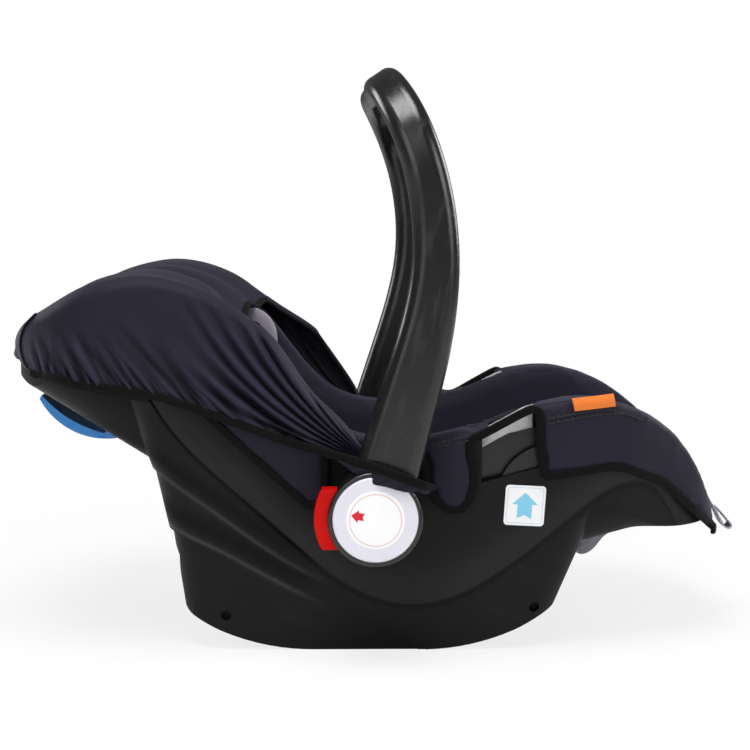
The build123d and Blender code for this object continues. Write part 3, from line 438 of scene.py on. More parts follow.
def stuffed(piece, pressure, most, held):
    """Blow a closed piece up with a cloth simulation, and cap how far each point moves.

    A point p that the cloth carries to q ends at p + (q - p) min(1, most / |q - p|).
    """
    before = points_of(piece.data)
    cloth = with_modifier(piece, "CLOTH")
    cloth.settings.quality = 4
    cloth.settings.use_pressure = True
    cloth.settings.uniform_pressure_force = pressure
    cloth.settings.effector_weights.gravity = 0
    cloth.settings.mass = 0.3
    cloth.collision_settings.use_collision = False
    cloth.collision_settings.use_self_collision = False
    group = piece.vertex_groups.new(name="held")
    group.add(np.flatnonzero(held).tolist(), 1.0, "REPLACE")
    cloth.settings.vertex_group_mass = "held"
    cloth.point_cache.frame_start = 1
    cloth.point_cache.frame_end = CLOTH_FRAMES
    scene = bpy.context.scene
    for step in range(1, CLOTH_FRAMES + 1):
        scene.frame_set(step)
    applied(piece)
    scene.frame_set(1)
    piece.vertex_groups.clear()
    moved = points_of(piece.data) - before
    far = np.linalg.norm(moved, axis=1, keepdims=True)
    move_points(piece.data, before + moved * np.minimum(1, most / np.maximum(far, 1e-9)))


def put(piece, body, look, stands_for=()):
    """Give a piece its finish, its body and the nodes that it stands for."""
    piece.data.materials.clear()
    piece.data.materials.append(look)
    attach(piece, body)
    if stands_for:
        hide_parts(*stands_for)
    return piece


# Finishes

class Wire:
    """A value in a material. Python operators on it add Math nodes."""

    def __init__(self, kit, socket):
        self.kit = kit
        self.socket = socket

    def __add__(self, other):
        return self.kit.sums("ADD", self, other)

    def __sub__(self, other):
        return self.kit.sums("SUBTRACT", self, other)

    def __rsub__(self, other):
        return self.kit.sums("SUBTRACT", other, self)

    def __mul__(self, other):
        return self.kit.sums("MULTIPLY", self, other)

    def __pow__(self, other):
        return self.kit.sums("POWER", self, other)

    __radd__ = __add__
    __rmul__ = __mul__


class Kit:
    """A node tree; values that it hands out are Wires."""

    def __init__(self, tree):
        self.tree = tree

    def add(self, kind, options=None, sockets=None):
        """Add a node: its options first, then the values or links of its sockets."""
        node = self.tree.nodes.new(kind)
        for name, value in (options or {}).items():
            setattr(node, name, value)
        for name, value in (sockets or {}).items():
            self.join(value, node.inputs[name])
        return node

    def join(self, value, socket):
        """Link a value to a socket, or set it."""
        if isinstance(value, Wire):
            value = value.socket
        if isinstance(value, bpy.types.NodeSocket):
            self.tree.links.new(value, socket)
        else:
            socket.default_value = value

    def sums(self, operation, a, b=0.0):
        """One Math node on one or two values."""
        node = self.add("ShaderNodeMath", {"operation": operation}, {0: a, 1: b})
        return Wire(self, node.outputs[0])

    def wave(self, value, pitch):
        """Sine of a value that repeats every pitch metres."""
        return self.sums("SINE", value * (2 * math.pi / pitch))

    def between(self, value, low, high):
        """Smooth step of a value from 0 at low to 1 at high."""
        node = self.add("ShaderNodeMapRange", {"interpolation_type": "SMOOTHSTEP"},
                        {"Value": value, "From Min": low, "From Max": high})
        return Wire(self, node.outputs["Result"])

    def axes(self, vector):
        """The three coordinates as values."""
        node = self.add("ShaderNodeSeparateXYZ", None, {0: vector})
        return [Wire(self, node.outputs[k]) for k in range(3)]

    def rays(self, name):
        """1 for rays of the named kind, else 0."""
        return Wire(self, self.add("ShaderNodeLightPath").outputs[name])

    def mixed(self, share, first, second, output):
        """Two shaders mixed by a share and linked to the tree's output."""
        node = self.add("ShaderNodeMixShader", None, {0: share, 1: first.outputs[0], 2: second.outputs[0]})
        self.add(output, None, {"Surface": node.outputs[0]})


class Finish(Kit):
    """One material, built from nodes that read the piece's own coordinates."""

    def __init__(self, name, roughness, **constants):
        self.material = bpy.data.materials.new(name)
        self.material.use_nodes = True
        super().__init__(self.material.node_tree)
        self.shader = self.tree.nodes["Principled BSDF"]
        self.shader.inputs["Roughness"].default_value = roughness
        for socket, value in constants.items():
            self.shader.inputs[socket.replace("_", " ")].default_value = value
        self.place = self.add("ShaderNodeTexCoord").outputs["Object"]

    def run(self):
        """Values along and around a band, in metres, from its own map."""
        return self.axes(self.add("ShaderNodeUVMap", {"uv_map": "run"}).outputs["UV"])[:2]

    def stretched(self, scale, turn=(0, 0, 0)):
        """Object coordinates, turned and scaled along each axis."""
        node = self.add("ShaderNodeMapping", {"vector_type": "TEXTURE"},
                        {"Vector": self.place, "Rotation": turn, "Scale": [1 / s for s in scale]})
        return node.outputs["Vector"]

    def noise(self, scale, detail=3.0, vector=None):
        """Cloudy value from 0 to 1."""
        node = self.add("ShaderNodeTexNoise", None,
                        {"Vector": vector or self.place, "Scale": scale, "Detail": detail})
        return Wire(self, node.outputs["Fac"])

    def cells(self, scale):
        """Distance to the nearest of scattered points."""
        node = self.add("ShaderNodeTexVoronoi", None, {"Vector": self.place, "Scale": scale})
        return Wire(self, node.outputs["Distance"])

    def blend(self, share, first, second):
        """Colour between two colours."""
        node = self.add("ShaderNodeMix", {"data_type": "RGBA"}, {0: share, 6: first, 7: second})
        return node.outputs[2]

    def colour(self, value):
        """Set or link the base colour."""
        self.join(value, self.shader.inputs["Base Color"])

    def rough(self, value):
        """Link the roughness."""
        self.join(value, self.shader.inputs["Roughness"])

    def relief(self, height, distance, strength=1.0):
        """Bump that stands height times distance metres high."""
        node = self.add("ShaderNodeBump", None,
                        {"Height": height, "Distance": distance, "Strength": strength})
        self.join(node.outputs["Normal"], self.shader.inputs["Normal"])
        return self


def shade(colour, factor):
    """A colour made lighter or darker, with alpha."""
    return [min(c * factor, 1.0) for c in colour[:3]] + [1.0]


FINISHES = {}


def finish(name):
    """The named finish, made the first time that it is asked for."""
    if name not in FINISHES:
        FINISHES[name] = MAKERS[name](settings().colours).material
    return FINISHES[name]


CROWN_EDGE = [(-196, 234), (-180, 213), (-153, 180), (-95, 129), (-36, 74), (-3, 55), (43, 47.5), (98, 57.5),
              (129, 80.5), (160, 109), (226, 155), (240, 160)]
UPPER_STEP = [(-198, 168), (-180, 161.5), (-160, 146.5), (-134, 126), (-107, 105), (-68, 82), (-40, 64)]
LOWER_STEP = [(-182, 114.5), (-164, 110), (-144, 98), (-118, 84.5), (-91, 68.5), (-63, 54.5), (-40, 43)]


def over_line(x, z, points, degree):
    """Height over a side-view line: z less the polynomial in x that fits the line's points."""
    line = smooth_line(points, 160) * MM
    factors = [float(f) for f in np.polyfit(line[:, 0], line[:, 1], degree)]
    height = x * factors[0] + factors[1]
    for factor in factors[2:]:
        height = height * x + factor
    return z - height


def moulded_black(colours):
    """Grained black polypropylene: cloudy sheen, rubs, dust; a painted highlight and painted shade at its
    steps.

    Over each line the surface rises by a smooth step, which rounds the lower edge of the moulded step there.
    """
    kit = Finish("moulded_black", 0.4, Specular_IOR_Level=0.11)
    x, y, z = kit.axes(kit.place)
    wall = kit.between(kit.sums("ABSOLUTE", y), 0.09, 0.12)
    crown = over_line(x, z, CROWN_EDGE, 7)
    upper = over_line(x, z, UPPER_STEP, 3)
    lower = over_line(x, z, LOWER_STEP, 3)
    run_out = 1 - kit.between(x, -0.085, -0.035)
    base_part = (1 - kit.between(crown, -0.003, 0.003)) * run_out * wall

    def near(value, middle, width):
        off = (value - middle) * (1 / width)
        return kit.sums("EXPONENT", off * off * -1.0)

    # Painted highlight along the lower edge of each moulded step, and painted shade in a band below it.
    painted_step_highlight = (near(upper, 0.0015, 0.0028) + near(lower, 0.0015, 0.0028)) * base_part
    painted_step_shade = (near(upper, 0.017, 0.011) + near(lower, 0.017, 0.011)) * base_part
    # Painted highlight along the lower edge of the crown, and a painted shadow line just under that edge.
    lap = kit.between(crown, -0.001, 0.003) * (1 - kit.between(crown, 0.006, 0.055)) * wall
    painted_crown_shadow = near(crown, -0.003, 0.0024) * wall
    cloud = kit.noise(9.0, 4.0)
    rubs = kit.noise(60.0, 5.0, kit.stretched((0.25, 1.0, 1.6), (0, 0.5, 0)))
    grain = kit.noise(2600.0, 2.0)
    pits = kit.cells(1500.0)
    dust = kit.between(rubs, 0.56, 0.80)
    base = kit.blend(cloud, shade(colours.shell, 0.82), shade(colours.shell, 1.25))
    base = kit.blend(dust * 0.22, base, shade(colours.shell, 3.2))
    # The painted highlights lighten the colour; the painted shade and shadow below the edges darken it.
    base = kit.blend(kit.sums("MINIMUM", painted_step_highlight + lap * 0.28, 1.0), base, shade(colours.shell, 5.0))
    dark = kit.sums("MINIMUM", painted_step_shade * 0.6 + painted_crown_shadow * 0.6, 1.0)
    kit.colour(kit.blend(dark, base, shade(colours.shell, 0.25)))
    kit.rough(0.36 + cloud * 0.08 + dust * 0.10 + grain * 0.08 - painted_step_highlight * 0.08 + painted_step_shade * 0.2)
    steps = (kit.between(upper, 0.0, 0.014) + kit.between(lower, 0.0, 0.014)) * base_part
    rounded = (steps + kit.between(crown, -0.002, 0.018) * wall) * 0.0022
    return kit.relief(rounded + grain * 0.000033 + pits * 0.000022, 1.0)


def handle_black(colours):
    """Smoother black moulding of the handle, with hand rubs along the arms."""
    kit = Finish("handle_black", 0.3, Specular_IOR_Level=0.55)
    cloud = kit.noise(14.0, 4.0)
    rubs = kit.noise(90.0, 5.0, kit.stretched((1.3, 1.0, 0.22), (0, 0.18, 0)))
    grain = kit.noise(3000.0, 2.0)
    worn = kit.between(rubs, 0.52, 0.78)
    base = kit.blend(cloud, shade(colours.shell, 0.75), shade(colours.shell, 1.15))
    kit.colour(kit.blend(worn * 0.35, base, shade(colours.shell, 3.6)))
    kit.rough(0.17 + cloud * 0.08 + worn * 0.12 + grain * 0.05)
    return kit.relief(grain * 0.7 + rubs * 0.3, 0.00008, 0.5)


def coated_fabric(name, colour, creased=False):
    """Dark stretch fabric: fine crossed ribs, soft mottling, lint, a pale sheen; painted crease shade and
    crest highlight.
    """
    kit = Finish(name, 0.72, Specular_IOR_Level=0.2, Sheen_Weight=0.11, Sheen_Roughness=0.42,
                 Sheen_Tint=(0.62, 0.60, 0.80, 1.0))
    x, y, z = kit.axes(kit.place)
    knit = kit.wave(x + z + y * 0.8, 0.0013) * kit.wave(x - z + y * 0.6, 0.0013) * 0.5 + 0.5
    mottle = kit.noise(38.0, 5.0)
    lint = kit.between(kit.noise(900.0, 2.0), 0.64, 0.80)
    base = kit.blend(mottle, shade(colour, 0.78), shade(colour, 1.28))
    base = kit.blend(knit * 0.35, base, shade(colour, 1.75))
    base = kit.blend(lint * 0.25, base, shade(colour, 4.0))
    if creased:
        # When creased: a painted highlight on the crests of the folds and painted shade down in their
        # creases.
        fold = Wire(kit, kit.add("ShaderNodeAttribute", {"attribute_name": "fold"}).outputs["Fac"])
        base = kit.blend(1 - kit.between(fold, -0.45, 0.02), base, shade(colour, 2.1))
        base = kit.blend(kit.between(fold, 0.08, 0.85) * 0.95, base, shade(colour, 0.06))
    kit.colour(base)
    kit.rough(0.62 + mottle * 0.16 - knit * 0.06)
    return kit.relief(knit * 0.75 + kit.noise(700.0, 3.0) * 0.25, 0.00016, 0.5)


def cover_fabric(colours):
    """Padded fabric of the cover."""
    return coated_fabric("cover_fabric", [c * k for c, k in zip(colours.fabric, (1.08, 1.06, 1.16))])


def hood_fabric(colours):
    """Thinner cloth of the hood, a touch darker, with shade in its creases."""
    return coated_fabric("hood_fabric", [c * k for c, k in zip(colours.fabric, (0.95, 0.95, 1.02))], True)


def binding_tape(colours):
    """Ribbed black tape: ribs across its run, from its own map."""
    kit = Finish("binding_tape", 0.78, Specular_IOR_Level=0.1, Sheen_Weight=0.03, Sheen_Roughness=0.5)
    along, around = kit.run()
    rib = kit.wave(along, 0.0016) * 0.5 + 0.5
    twill = kit.wave(along + around, 0.0034) * 0.5 + 0.5
    wear = kit.noise(160.0, 4.0)
    base = kit.blend(rib * 0.6, shade(colours.trim, 0.75), shade(colours.trim, 1.7))
    kit.colour(kit.blend(kit.between(wear, 0.52, 0.80) * 0.5, base, shade(colours.trim, 2.6)))
    kit.rough(0.70 + wear * 0.16)
    return kit.relief(rib * 0.7 + twill * 0.3, 0.00022, 0.7)


def seam_thread(colours):
    """Dark sewing thread."""
    kit = Finish("seam_thread", 0.7, Sheen_Weight=0.2)
    fuzz = kit.noise(1800.0, 3.0)
    kit.colour(kit.blend(fuzz, shade(colours.trim, 0.35), shade(colours.trim, 0.9)))
    return kit.relief(fuzz, 0.0001, 0.5)


def insert_jersey(colours):
    """Brushed jersey of the infant insert."""
    kit = Finish("insert_jersey", 0.85, Specular_IOR_Level=0.2, Sheen_Weight=0.5, Sheen_Roughness=0.6)
    x, y, z = kit.axes(kit.place)
    loops = kit.wave(y + x * 0.3, 0.0018) * kit.wave(z - x, 0.0022) * 0.5 + 0.5
    cloud = kit.noise(30.0, 5.0)
    base = kit.blend(cloud, shade(colours.insert, 0.86), shade(colours.insert, 1.1))
    kit.colour(kit.blend(loops * 0.3, base, shade(colours.insert, 0.7)))
    kit.rough(0.78 + cloud * 0.15)
    return kit.relief(loops, 0.00025, 0.6)


def pale_lining(colours):
    """Light grey backing of the cover, seen in the belt notches."""
    kit = Finish("pale_lining", 0.8, Specular_IOR_Level=0.3, Sheen_Weight=0.3)
    cloud = kit.noise(120.0, 4.0)
    fibre = kit.noise(1200.0, 2.0)
    kit.colour(kit.blend(cloud, (0.36, 0.355, 0.36, 1), (0.55, 0.545, 0.55, 1)))
    kit.rough(0.72 + fibre * 0.2)
    return kit.relief(fibre, 0.0002, 0.5)


def belt_webbing(colours):
    """Woven belt, a little soiled: ribs along its run, from its own map."""
    kit = Finish("belt_webbing", 0.62, Specular_IOR_Level=0.4, Sheen_Weight=0.2)
    along, around = kit.run()
    ribs = kit.wave(around, 0.0026) * 0.5 + 0.5
    picks = kit.sums("SINE", along * (2 * math.pi / 0.0018) + ribs * 3.0) * 0.5 + 0.5
    soil = kit.noise(70.0, 4.0)
    base = kit.blend(ribs * 0.6, shade(colours.belt, 0.7), shade(colours.belt, 1.2))
    kit.colour(kit.blend(soil * 0.5, base, shade(colours.belt, 0.75)))
    kit.rough(0.52 + picks * 0.18)
    return kit.relief(ribs * 0.5 + picks * 0.5, 0.00025, 0.7)


def red_button(colours):
    """Glossy red moulding with a fine grain and paler rubs."""
    kit = Finish("red_button", 0.3, Specular_IOR_Level=0.12)
    cloud = kit.noise(70.0, 4.0)
    grain = kit.noise(2200.0, 2.0)
    rub = kit.between(kit.noise(240.0, 5.0), 0.60, 0.82)
    base = kit.blend(cloud, shade(colours.button, 0.86), shade(colours.button, 1.08))
    kit.colour(kit.blend(rub * 0.18, base, (0.62, 0.010, 0.006, 1)))
    kit.rough(0.26 + grain * 0.12 + rub * 0.14)
    return kit.relief(grain, 0.00006, 0.4)


def moulding(name, tones, cloud, grain, gloss, relief, **constants):
    """Plain moulding: cloudy colour between two tones, with a fine grain.

    Cloud and grain are noises, given as scale and detail; the roughness is g0 + g1 cloud + g2 grain.
    """
    kit = Finish(name, gloss[0], **constants)
    clouds = kit.noise(*cloud)
    grains = kit.noise(*grain)
    kit.colour(kit.blend(clouds, *tones))
    kit.rough(gloss[0] + clouds * gloss[1] + grains * gloss[2])
    return kit.relief(grains, *relief)


def blue_hook(colours):
    """Satin blue moulding."""
    tones = [shade(colours.hook, 0.85), shade(colours.hook, 1.15)]
    return moulding("blue_hook", tones, (24.0, 4.0), (2200.0, 2.0), (0.30, 0.08, 0.08), (0.00006, 0.4),
                    Specular_IOR_Level=0.5)


def silver_paint(colours):
    """Silver paint on plastic, with fine flake and light scratches."""
    kit = Finish("silver_paint", 0.36, Metallic=0.08, Specular_IOR_Level=0.5, Coat_Weight=0.1)
    flake = kit.cells(2600.0)
    haze = kit.noise(40.0, 4.0)
    scratch = kit.between(kit.noise(130.0, 6.0, kit.stretched((0.15, 1, 1.5), (0, 0.6, 0))), 0.62, 0.80)
    base = kit.blend(flake * 0.6, shade(colours.cap, 0.88), shade(colours.cap, 1.16))
    kit.colour(kit.blend(scratch * 0.25, base, shade(colours.cap, 1.45)))
    kit.rough(0.30 + haze * 0.10 + scratch * 0.12)
    return kit.relief(flake, 0.00004, 0.4)


def label_white(colours):
    """White printed film with faint handling marks."""
    kit = Finish("label_white", 0.38, Specular_IOR_Level=0.45, Coat_Weight=0.1)
    haze = kit.noise(120.0, 4.0)
    marks = kit.between(kit.noise(420.0, 5.0), 0.66, 0.84)
    base = kit.blend(haze, (0.85, 0.85, 0.86, 1), (0.90, 0.90, 0.905, 1))
    kit.colour(kit.blend(marks * 0.2, base, (0.62, 0.62, 0.64, 1)))
    kit.rough(0.32 + haze * 0.10)
    return kit.relief(haze, 0.00005, 0.3)


def printed(name, colour):
    """Printed ink with a faint screen of dots."""
    kit = Finish(name, 0.42, Specular_IOR_Level=0.45)
    dots = kit.cells(2400.0)
    kit.colour(kit.blend(dots * 0.5, shade(colour, 1.05), shade(colour, 0.85)))
    kit.rough(0.36 + dots * 0.12)
    return kit.relief(dots, 0.00002, 0.3)


def arrow_red(colours):
    """Red ink of the hub arrow."""
    return printed("arrow_red", (0.62, 0.008, 0.022))


def line_red(colours):
    """Thin pale red ink of the hub film's line."""
    return printed("line_red", (0.72, 0.36, 0.34))


def arrow_blue(colours):
    """Blue ink of the belt label."""
    return printed("arrow_blue", colours.arrow)


def line_blue(colours):
    """Thin pale blue ink of the belt label's frame."""
    return printed("line_blue", (0.42, 0.62, 0.78))


def woven_tag(colours):
    """Orange woven tag, bare."""
    kit = Finish("woven_tag", 0.6, Specular_IOR_Level=0.35, Sheen_Weight=0.2)
    x, _, z = kit.axes(kit.place)
    weave = kit.wave(x, 0.0010) * kit.wave(z, 0.0010) * 0.5 + 0.5
    cloud = kit.noise(140.0, 3.0)
    base = kit.blend(weave * 0.5, shade(colours.tag, 0.82), shade(colours.tag, 1.12))
    kit.colour(kit.blend(cloud * 0.3, base, shade(colours.tag, 0.8)))
    kit.rough(0.52 + weave * 0.14)
    return kit.relief(weave, 0.00012, 0.6)


def grey_button(colours):
    """Grey moulding of the adjuster's button."""
    tones = [(0.20, 0.20, 0.215, 1), (0.30, 0.30, 0.315, 1)]
    return moulding("grey_button", tones, (1800.0, 3.0), (1800.0, 3.0), (0.36, 0.14, 0.0), (0.00006, 0.4))


def plated_steel(colours):
    """Zinc-plated steel with drawn marks."""
    kit = Finish("plated_steel", 0.34, Metallic=1.0)
    drawn = kit.noise(220.0, 5.0, kit.stretched((0.1, 1.0, 1.4)))
    bloom = kit.noise(45.0, 4.0)
    kit.colour(kit.blend(bloom, (0.46, 0.46, 0.47, 1), (0.62, 0.62, 0.63, 1)))
    kit.rough(0.26 + drawn * 0.20)
    return kit.relief(drawn, 0.00004, 0.4)


def acetal(colours):
    """Natural acetal of the lock gears."""
    tones = [(0.62, 0.61, 0.57, 1), (0.74, 0.73, 0.70, 1)]
    return moulding("acetal", tones, (90.0, 4.0), (1600.0, 2.0), (0.34, 0.12, 0.0), (0.00005, 0.4),
                    Subsurface_Weight=0.05)


def guide_black(colours):
    """Glossy near-black moulding of the lap belt guides."""
    tones = [(0.0055, 0.0055, 0.006, 1), (0.010, 0.010, 0.011, 1)]
    return moulding("guide_black", tones, (30.0, 4.0), (2200.0, 2.0), (0.17, 0.06, 0.08), (0.00008, 0.5))


def buckle_black(colours):
    """Gloss black moulding of the buckle and the adjuster."""
    tones = [(0.010, 0.010, 0.011, 1), (0.020, 0.020, 0.022, 1)]
    return moulding("buckle_black", tones, (50.0, 5.0), (1500.0, 2.0), (0.20, 0.18, 0.0), (0.00004, 0.3))


MAKERS = {maker.__name__: maker for maker in (
    moulded_black, handle_black, cover_fabric, hood_fabric, binding_tape, seam_thread, insert_jersey,
    pale_lining, belt_webbing, red_button, blue_hook, silver_paint, label_white, arrow_red, line_red,
    arrow_blue, line_blue, woven_tag, grey_button, plated_steel, acetal, guide_black, buckle_black)}

NODE_FINISH = {
    "moulded_black": ("seat_shell", "hub_socket_left", "hub_socket_right"),
    "handle_black": ("carry_handle",),
    "blue_hook": ("belt_hook",),
    "guide_black": ("lap_belt_guide_left", "lap_belt_guide_right"),
    "silver_paint": ("hub_cap_left", "hub_cap_right"),
    "red_button": ("release_button_left", "release_button_right", "buckle_button"),
    "acetal": ("lock_gear_left", "lock_gear_right"),
    "buckle_black": ("buckle_body", "adjuster_body"),
    "grey_button": ("adjuster_button",),
    "plated_steel": ("belt_hook_screws", "buckle_spring", "buckle_tongue_left", "buckle_tongue_right",
                     "crotch_anchor", "adjuster_spring", "harness_yoke", "lock_spring_left",
                     "lock_spring_right", "pivot_bolt_left", "pivot_bolt_right", "pivot_nut_left",
                     "pivot_nut_right"),
}


class CARSEAT_OT_hard_parts(bpy.types.Operator):
    """Finish the moulded and metal parts that come from the frame"""

    bl_idname = "carseat.hard_parts"
    bl_label = "Hard parts"

    def execute(self, context):
        for name, nodes in NODE_FINISH.items():
            for node in nodes:
                NODES[node].data.materials.clear()
                NODES[node].data.materials.append(finish(name))
        return {"FINISHED"}


# Cover

COVER_GROW = 7.0
FLAP_EDGE = [(-300, 265), (-160, 240), (-56, 142), (-42, 146), (-40, 196)]
FLAP_ROUNDS = [40, 6, 5]
TAB_EDGE = [(47, 196), (52, 168), (60, 150), (75, 138.5), (88, 141), (95, 156), (96, 176), (92.5, 194),
            (95, 204.5), (110, 213), (143, 231), (151, 232.5), (156, 227), (158, 200), (161.5, 168)]
LIP_EDGE = [(160, 169.5), (231, 179), (280, 157), (341, 103)]
LIP_ROUNDS = [60, 60]
FRONT_SEAM = [(164, 219.5), (185, 223.7), (202, 226.7), (220, 228), (237, 226.5), (252, 221.5)]
MIDDLE_SEAM = [(58, 199), (72, 200), (87, 203), (93, 205)]
NOTCH_RIM = [(80, 218), (88, 213), (94, 211), (100, 212), (110, 217), (143, 235), (152, 238), (166, 241)]
NOTCH_SILL = [(99, 192), (104, 193), (130, 207), (168, 216)]
NOTCH_SPAN = (99, 152)
LINING_Y = 154.6
FLAP_SUNK = 1.2           # how far the bindings sit in the padding
LIP_SUNK = 1.4
LIP_WIDE = 1.1            # the lip's binding is this much wider
ROW_GAP = 4.6             # between the two rows of a seam
COVER_PRESSURE = 1.5      # air pressure of the cover's cloth simulation
END_WALLS = 300.0         # the cover is held to the shell's ends beyond this distance from the origin
LINER_BACK = 144.0        # half widths: back of the liner,
OUTER_SKIN = 152.0        # outer skin beside the notch
RIM_SKIN = 140.0          # skin over the rim
HOOD_SIDE = 150.0         # and skin under the hood
SKIRT_GAIN = 9.0          # how far the skirt is drawn back over the notch
NOTCH_DIP = 0.88          # share of the height over the notch line that is drawn down
HOOD_ROOM = 3.5           # how far the skin is drawn in under the hood
TAB_SHIFT = [(136, 10), (142, 11), (158, 11), (176, 15), (195, 21), (206, 19), (213, 0)]


def on_cover(line, lift):
    """Side-view line carried out to the face of the cover on the left side, with the outward directions."""
    x, z = line[:, 0], line[:, 1]
    y = wall_y(x, z, COVER_GROW) + lift
    step = 1.5
    slope = (wall_y(x + step, z, COVER_GROW) - wall_y(x - step, z, COVER_GROW)) / (2 * step)
    lean = np.where(z < LEAN_TOP, SHELL_LEAN, 0.0)
    outwards = normalized(np.stack([-slope, np.ones_like(x), -lean], 1))
    return np.stack([x, y, z], 1), outwards


def front_end(lift, count):
    """Lower edge of the lip round the front: the plan outline from the left corner to the right one."""
    front = SHELL_FRONT + COVER_GROW
    corners = [(front - 60, 175.0), (front, FRONT_FLAT + COVER_GROW / 2), (front, 0)]
    line = rounded_line(corners, [PLAN_ROUNDS[-1] + COVER_GROW / 2], count // 2)
    z = 103 - 0.6 * np.clip(line[:, 0] - 341, 0, 3)
    path = np.stack([line[:, 0] + lift, line[:, 1] - SHELL_LEAN * (LEAN_TOP - z), z], 1)
    path = path[path[:, 0] > 336.0 + lift]
    return np.vstack([path, mirrored(path)[::-1][1:]])


class CARSEAT_OT_seat_cover(bpy.types.Operator):
    """Padded cover: an even copy of the fitted cover, puffed by a cloth simulation and drawn in at edges"""

    bl_idname = "carseat.seat_cover"
    bl_label = "Seat cover"

    def execute(self, context):
        sizes = settings().cover
        piece = remeshed("seat_cover", "padded_cover", sizes.voxel)
        points = points_of(piece.data) / MM
        x, y, z = points.T
        near_shell = np.abs(y) < wall_y(x, z, 0.0) + 3.0
        below_rim = z < rim_height(x, 2.0)
        liner_back = np.abs(y) > LINER_BACK
        held = near_shell & below_rim & (liner_back | (np.abs(x) > END_WALLS))
        stuffed(piece, COVER_PRESSURE, sizes.swell, held | self.under_hood(points))
        self.sewn_in(piece.data)
        put(piece, "seat", finish("cover_fabric"), ["seat_cover"])
        return {"FINISHED"}

    def sewn_in(self, mesh):
        """Draw the edges round the belt notches to their bound lines, and the skin under the hood inwards."""
        points = points_of(mesh) / MM
        x, y, z = points.T.copy()
        outer = np.abs(y) > OUTER_SKIN
        narrow = np.interp(z, *np.array(TAB_SHIFT).T) * ramp(x, 62, 110) * (1 - ramp(x, 116, 128))
        points[:, 0] -= np.where(outer & (x > 62) & (x < 128), narrow, 0)
        wide = SKIRT_GAIN * (1 - ramp(x, 164, 209)) * (1 - ramp(z, 226, 236))
        points[:, 0] -= np.where(outer & (x > 155), wide, 0)
        x = points[:, 0]
        top = np.interp(x, *np.array(NOTCH_RIM).T)
        share = ramp(x, 80, 93) * (1 - ramp(x, 152, 166))
        above = (np.abs(y) > RIM_SKIN) & (z > top)
        points[:, 2] -= np.where(above, NOTCH_DIP * share * (z - top), 0)
        points[:, 1] -= np.where(self.under_hood(points), HOOD_ROOM * np.sign(y), 0)
        move_points(mesh, points * MM)

    def under_hood(self, points):
        """Which points of the skin lie above the hem of the hood, on its part of the seat."""
        x, y, z = points.T
        return (x < 0) & (np.abs(y) > HOOD_SIDE) & (z > np.interp(x, *np.array(HEM).T) + 4)


class CARSEAT_OT_cover_trim(bpy.types.Operator):
    """Black binding round the flaps of the cover, its seams and the pale lining in the belt notches"""

    bl_idname = "carseat.cover_trim"
    bl_label = "Cover trim"

    def execute(self, context):
        for side, flip in (("left", 1), ("right", -1)):
            turn = np.array([1, flip, 1])
            self.binding(side, turn)
            self.stitching(side, turn)
            self.lining(side, turn)
        front = front_end(-LIP_SUNK, 160)
        out = np.stack([np.ones(len(front)), front[:, 1] / 120, 0 * front[:, 0]], 1)
        tape = self.tape("cover_binding_front", front, out, LIP_WIDE)
        put(tape, "seat", finish("binding_tape"))
        return {"FINISHED"}

    def tape(self, name, path, out, share):
        """Binding tape along a path, share times as wide as usual."""
        sizes = settings().cover
        return band(name, path, out, share * (sizes.binding_width / MM), sizes.binding_depth / MM)

    def binding(self, side, turn):
        """Binding along the flap, round the tab and the notch, and along the lip of one side."""
        pieces = []
        for name, line, sunk, share in (
                ("flap", rounded_line(FLAP_EDGE, FLAP_ROUNDS, 160), FLAP_SUNK, 1.0),
                ("tab", smooth_line(TAB_EDGE, 200), FLAP_SUNK, 1.0),
                ("lip", rounded_line(LIP_EDGE, LIP_ROUNDS, 110), LIP_SUNK, LIP_WIDE)):
            path, out = on_cover(line, -sunk)
            pieces.append(self.tape(f"binding_{name}_{side}", path * turn, out * turn, share))
        put(joined(f"cover_binding_{side}", pieces), "seat", finish("binding_tape"))

    def stitching(self, side, turn):
        """Two rows of thread along each seam of one side, kept just under the rim."""
        pitch = settings().cover.stitch_pitch / MM
        rows = []
        for name, seam in (("front", FRONT_SEAM), ("middle", MIDDLE_SEAM)):
            for rise in (0.0, ROW_GAP):
                line = smooth_line(seam, 110) + np.array([0, rise])
                line[:, 1] = np.minimum(line[:, 1], rim_height(line[:, 0], COVER_GROW) - 6)
                path, out = on_cover(line, 0.3)
                row = f"{name}_{rise:g}_{side}"
                rows.append(band(f"seam_{row}", path * turn, out * turn, 1.0, 0.9, 1.0, 8))
                over = path * turn + np.array([0, 0, 1.3])
                rows.append(stitches(f"stitch_{row}", over, out * turn, pitch, 2.8, 0.45))
        put(joined(f"rim_stitching_{side}", rows), "seat", finish("seam_thread"))

    def lining(self, side, turn):
        """Pale backing of the cover behind the belt notch of one side."""
        x, v = np.meshgrid(np.linspace(*NOTCH_SPAN, 40), np.linspace(0, 1, 14), indexing="ij")
        high = np.interp(x, *np.array(NOTCH_RIM).T) - 3
        low = np.minimum(np.interp(x, *np.array(NOTCH_SILL).T) + 0.8, high - 1)
        z = low + (high - low) * v
        y = LINING_Y + 1.2 * np.sin(x / 8.0) * np.sin(z / 9.0)
        piece = surface(f"notch_lining_{side}", np.stack([x, y, z], -1) * turn)
        outward_faces(piece.data)
        with_modifier(piece, "SOLIDIFY", thickness=0.0008, offset=0)
        put(piece, "seat", finish("pale_lining"))


# Hood

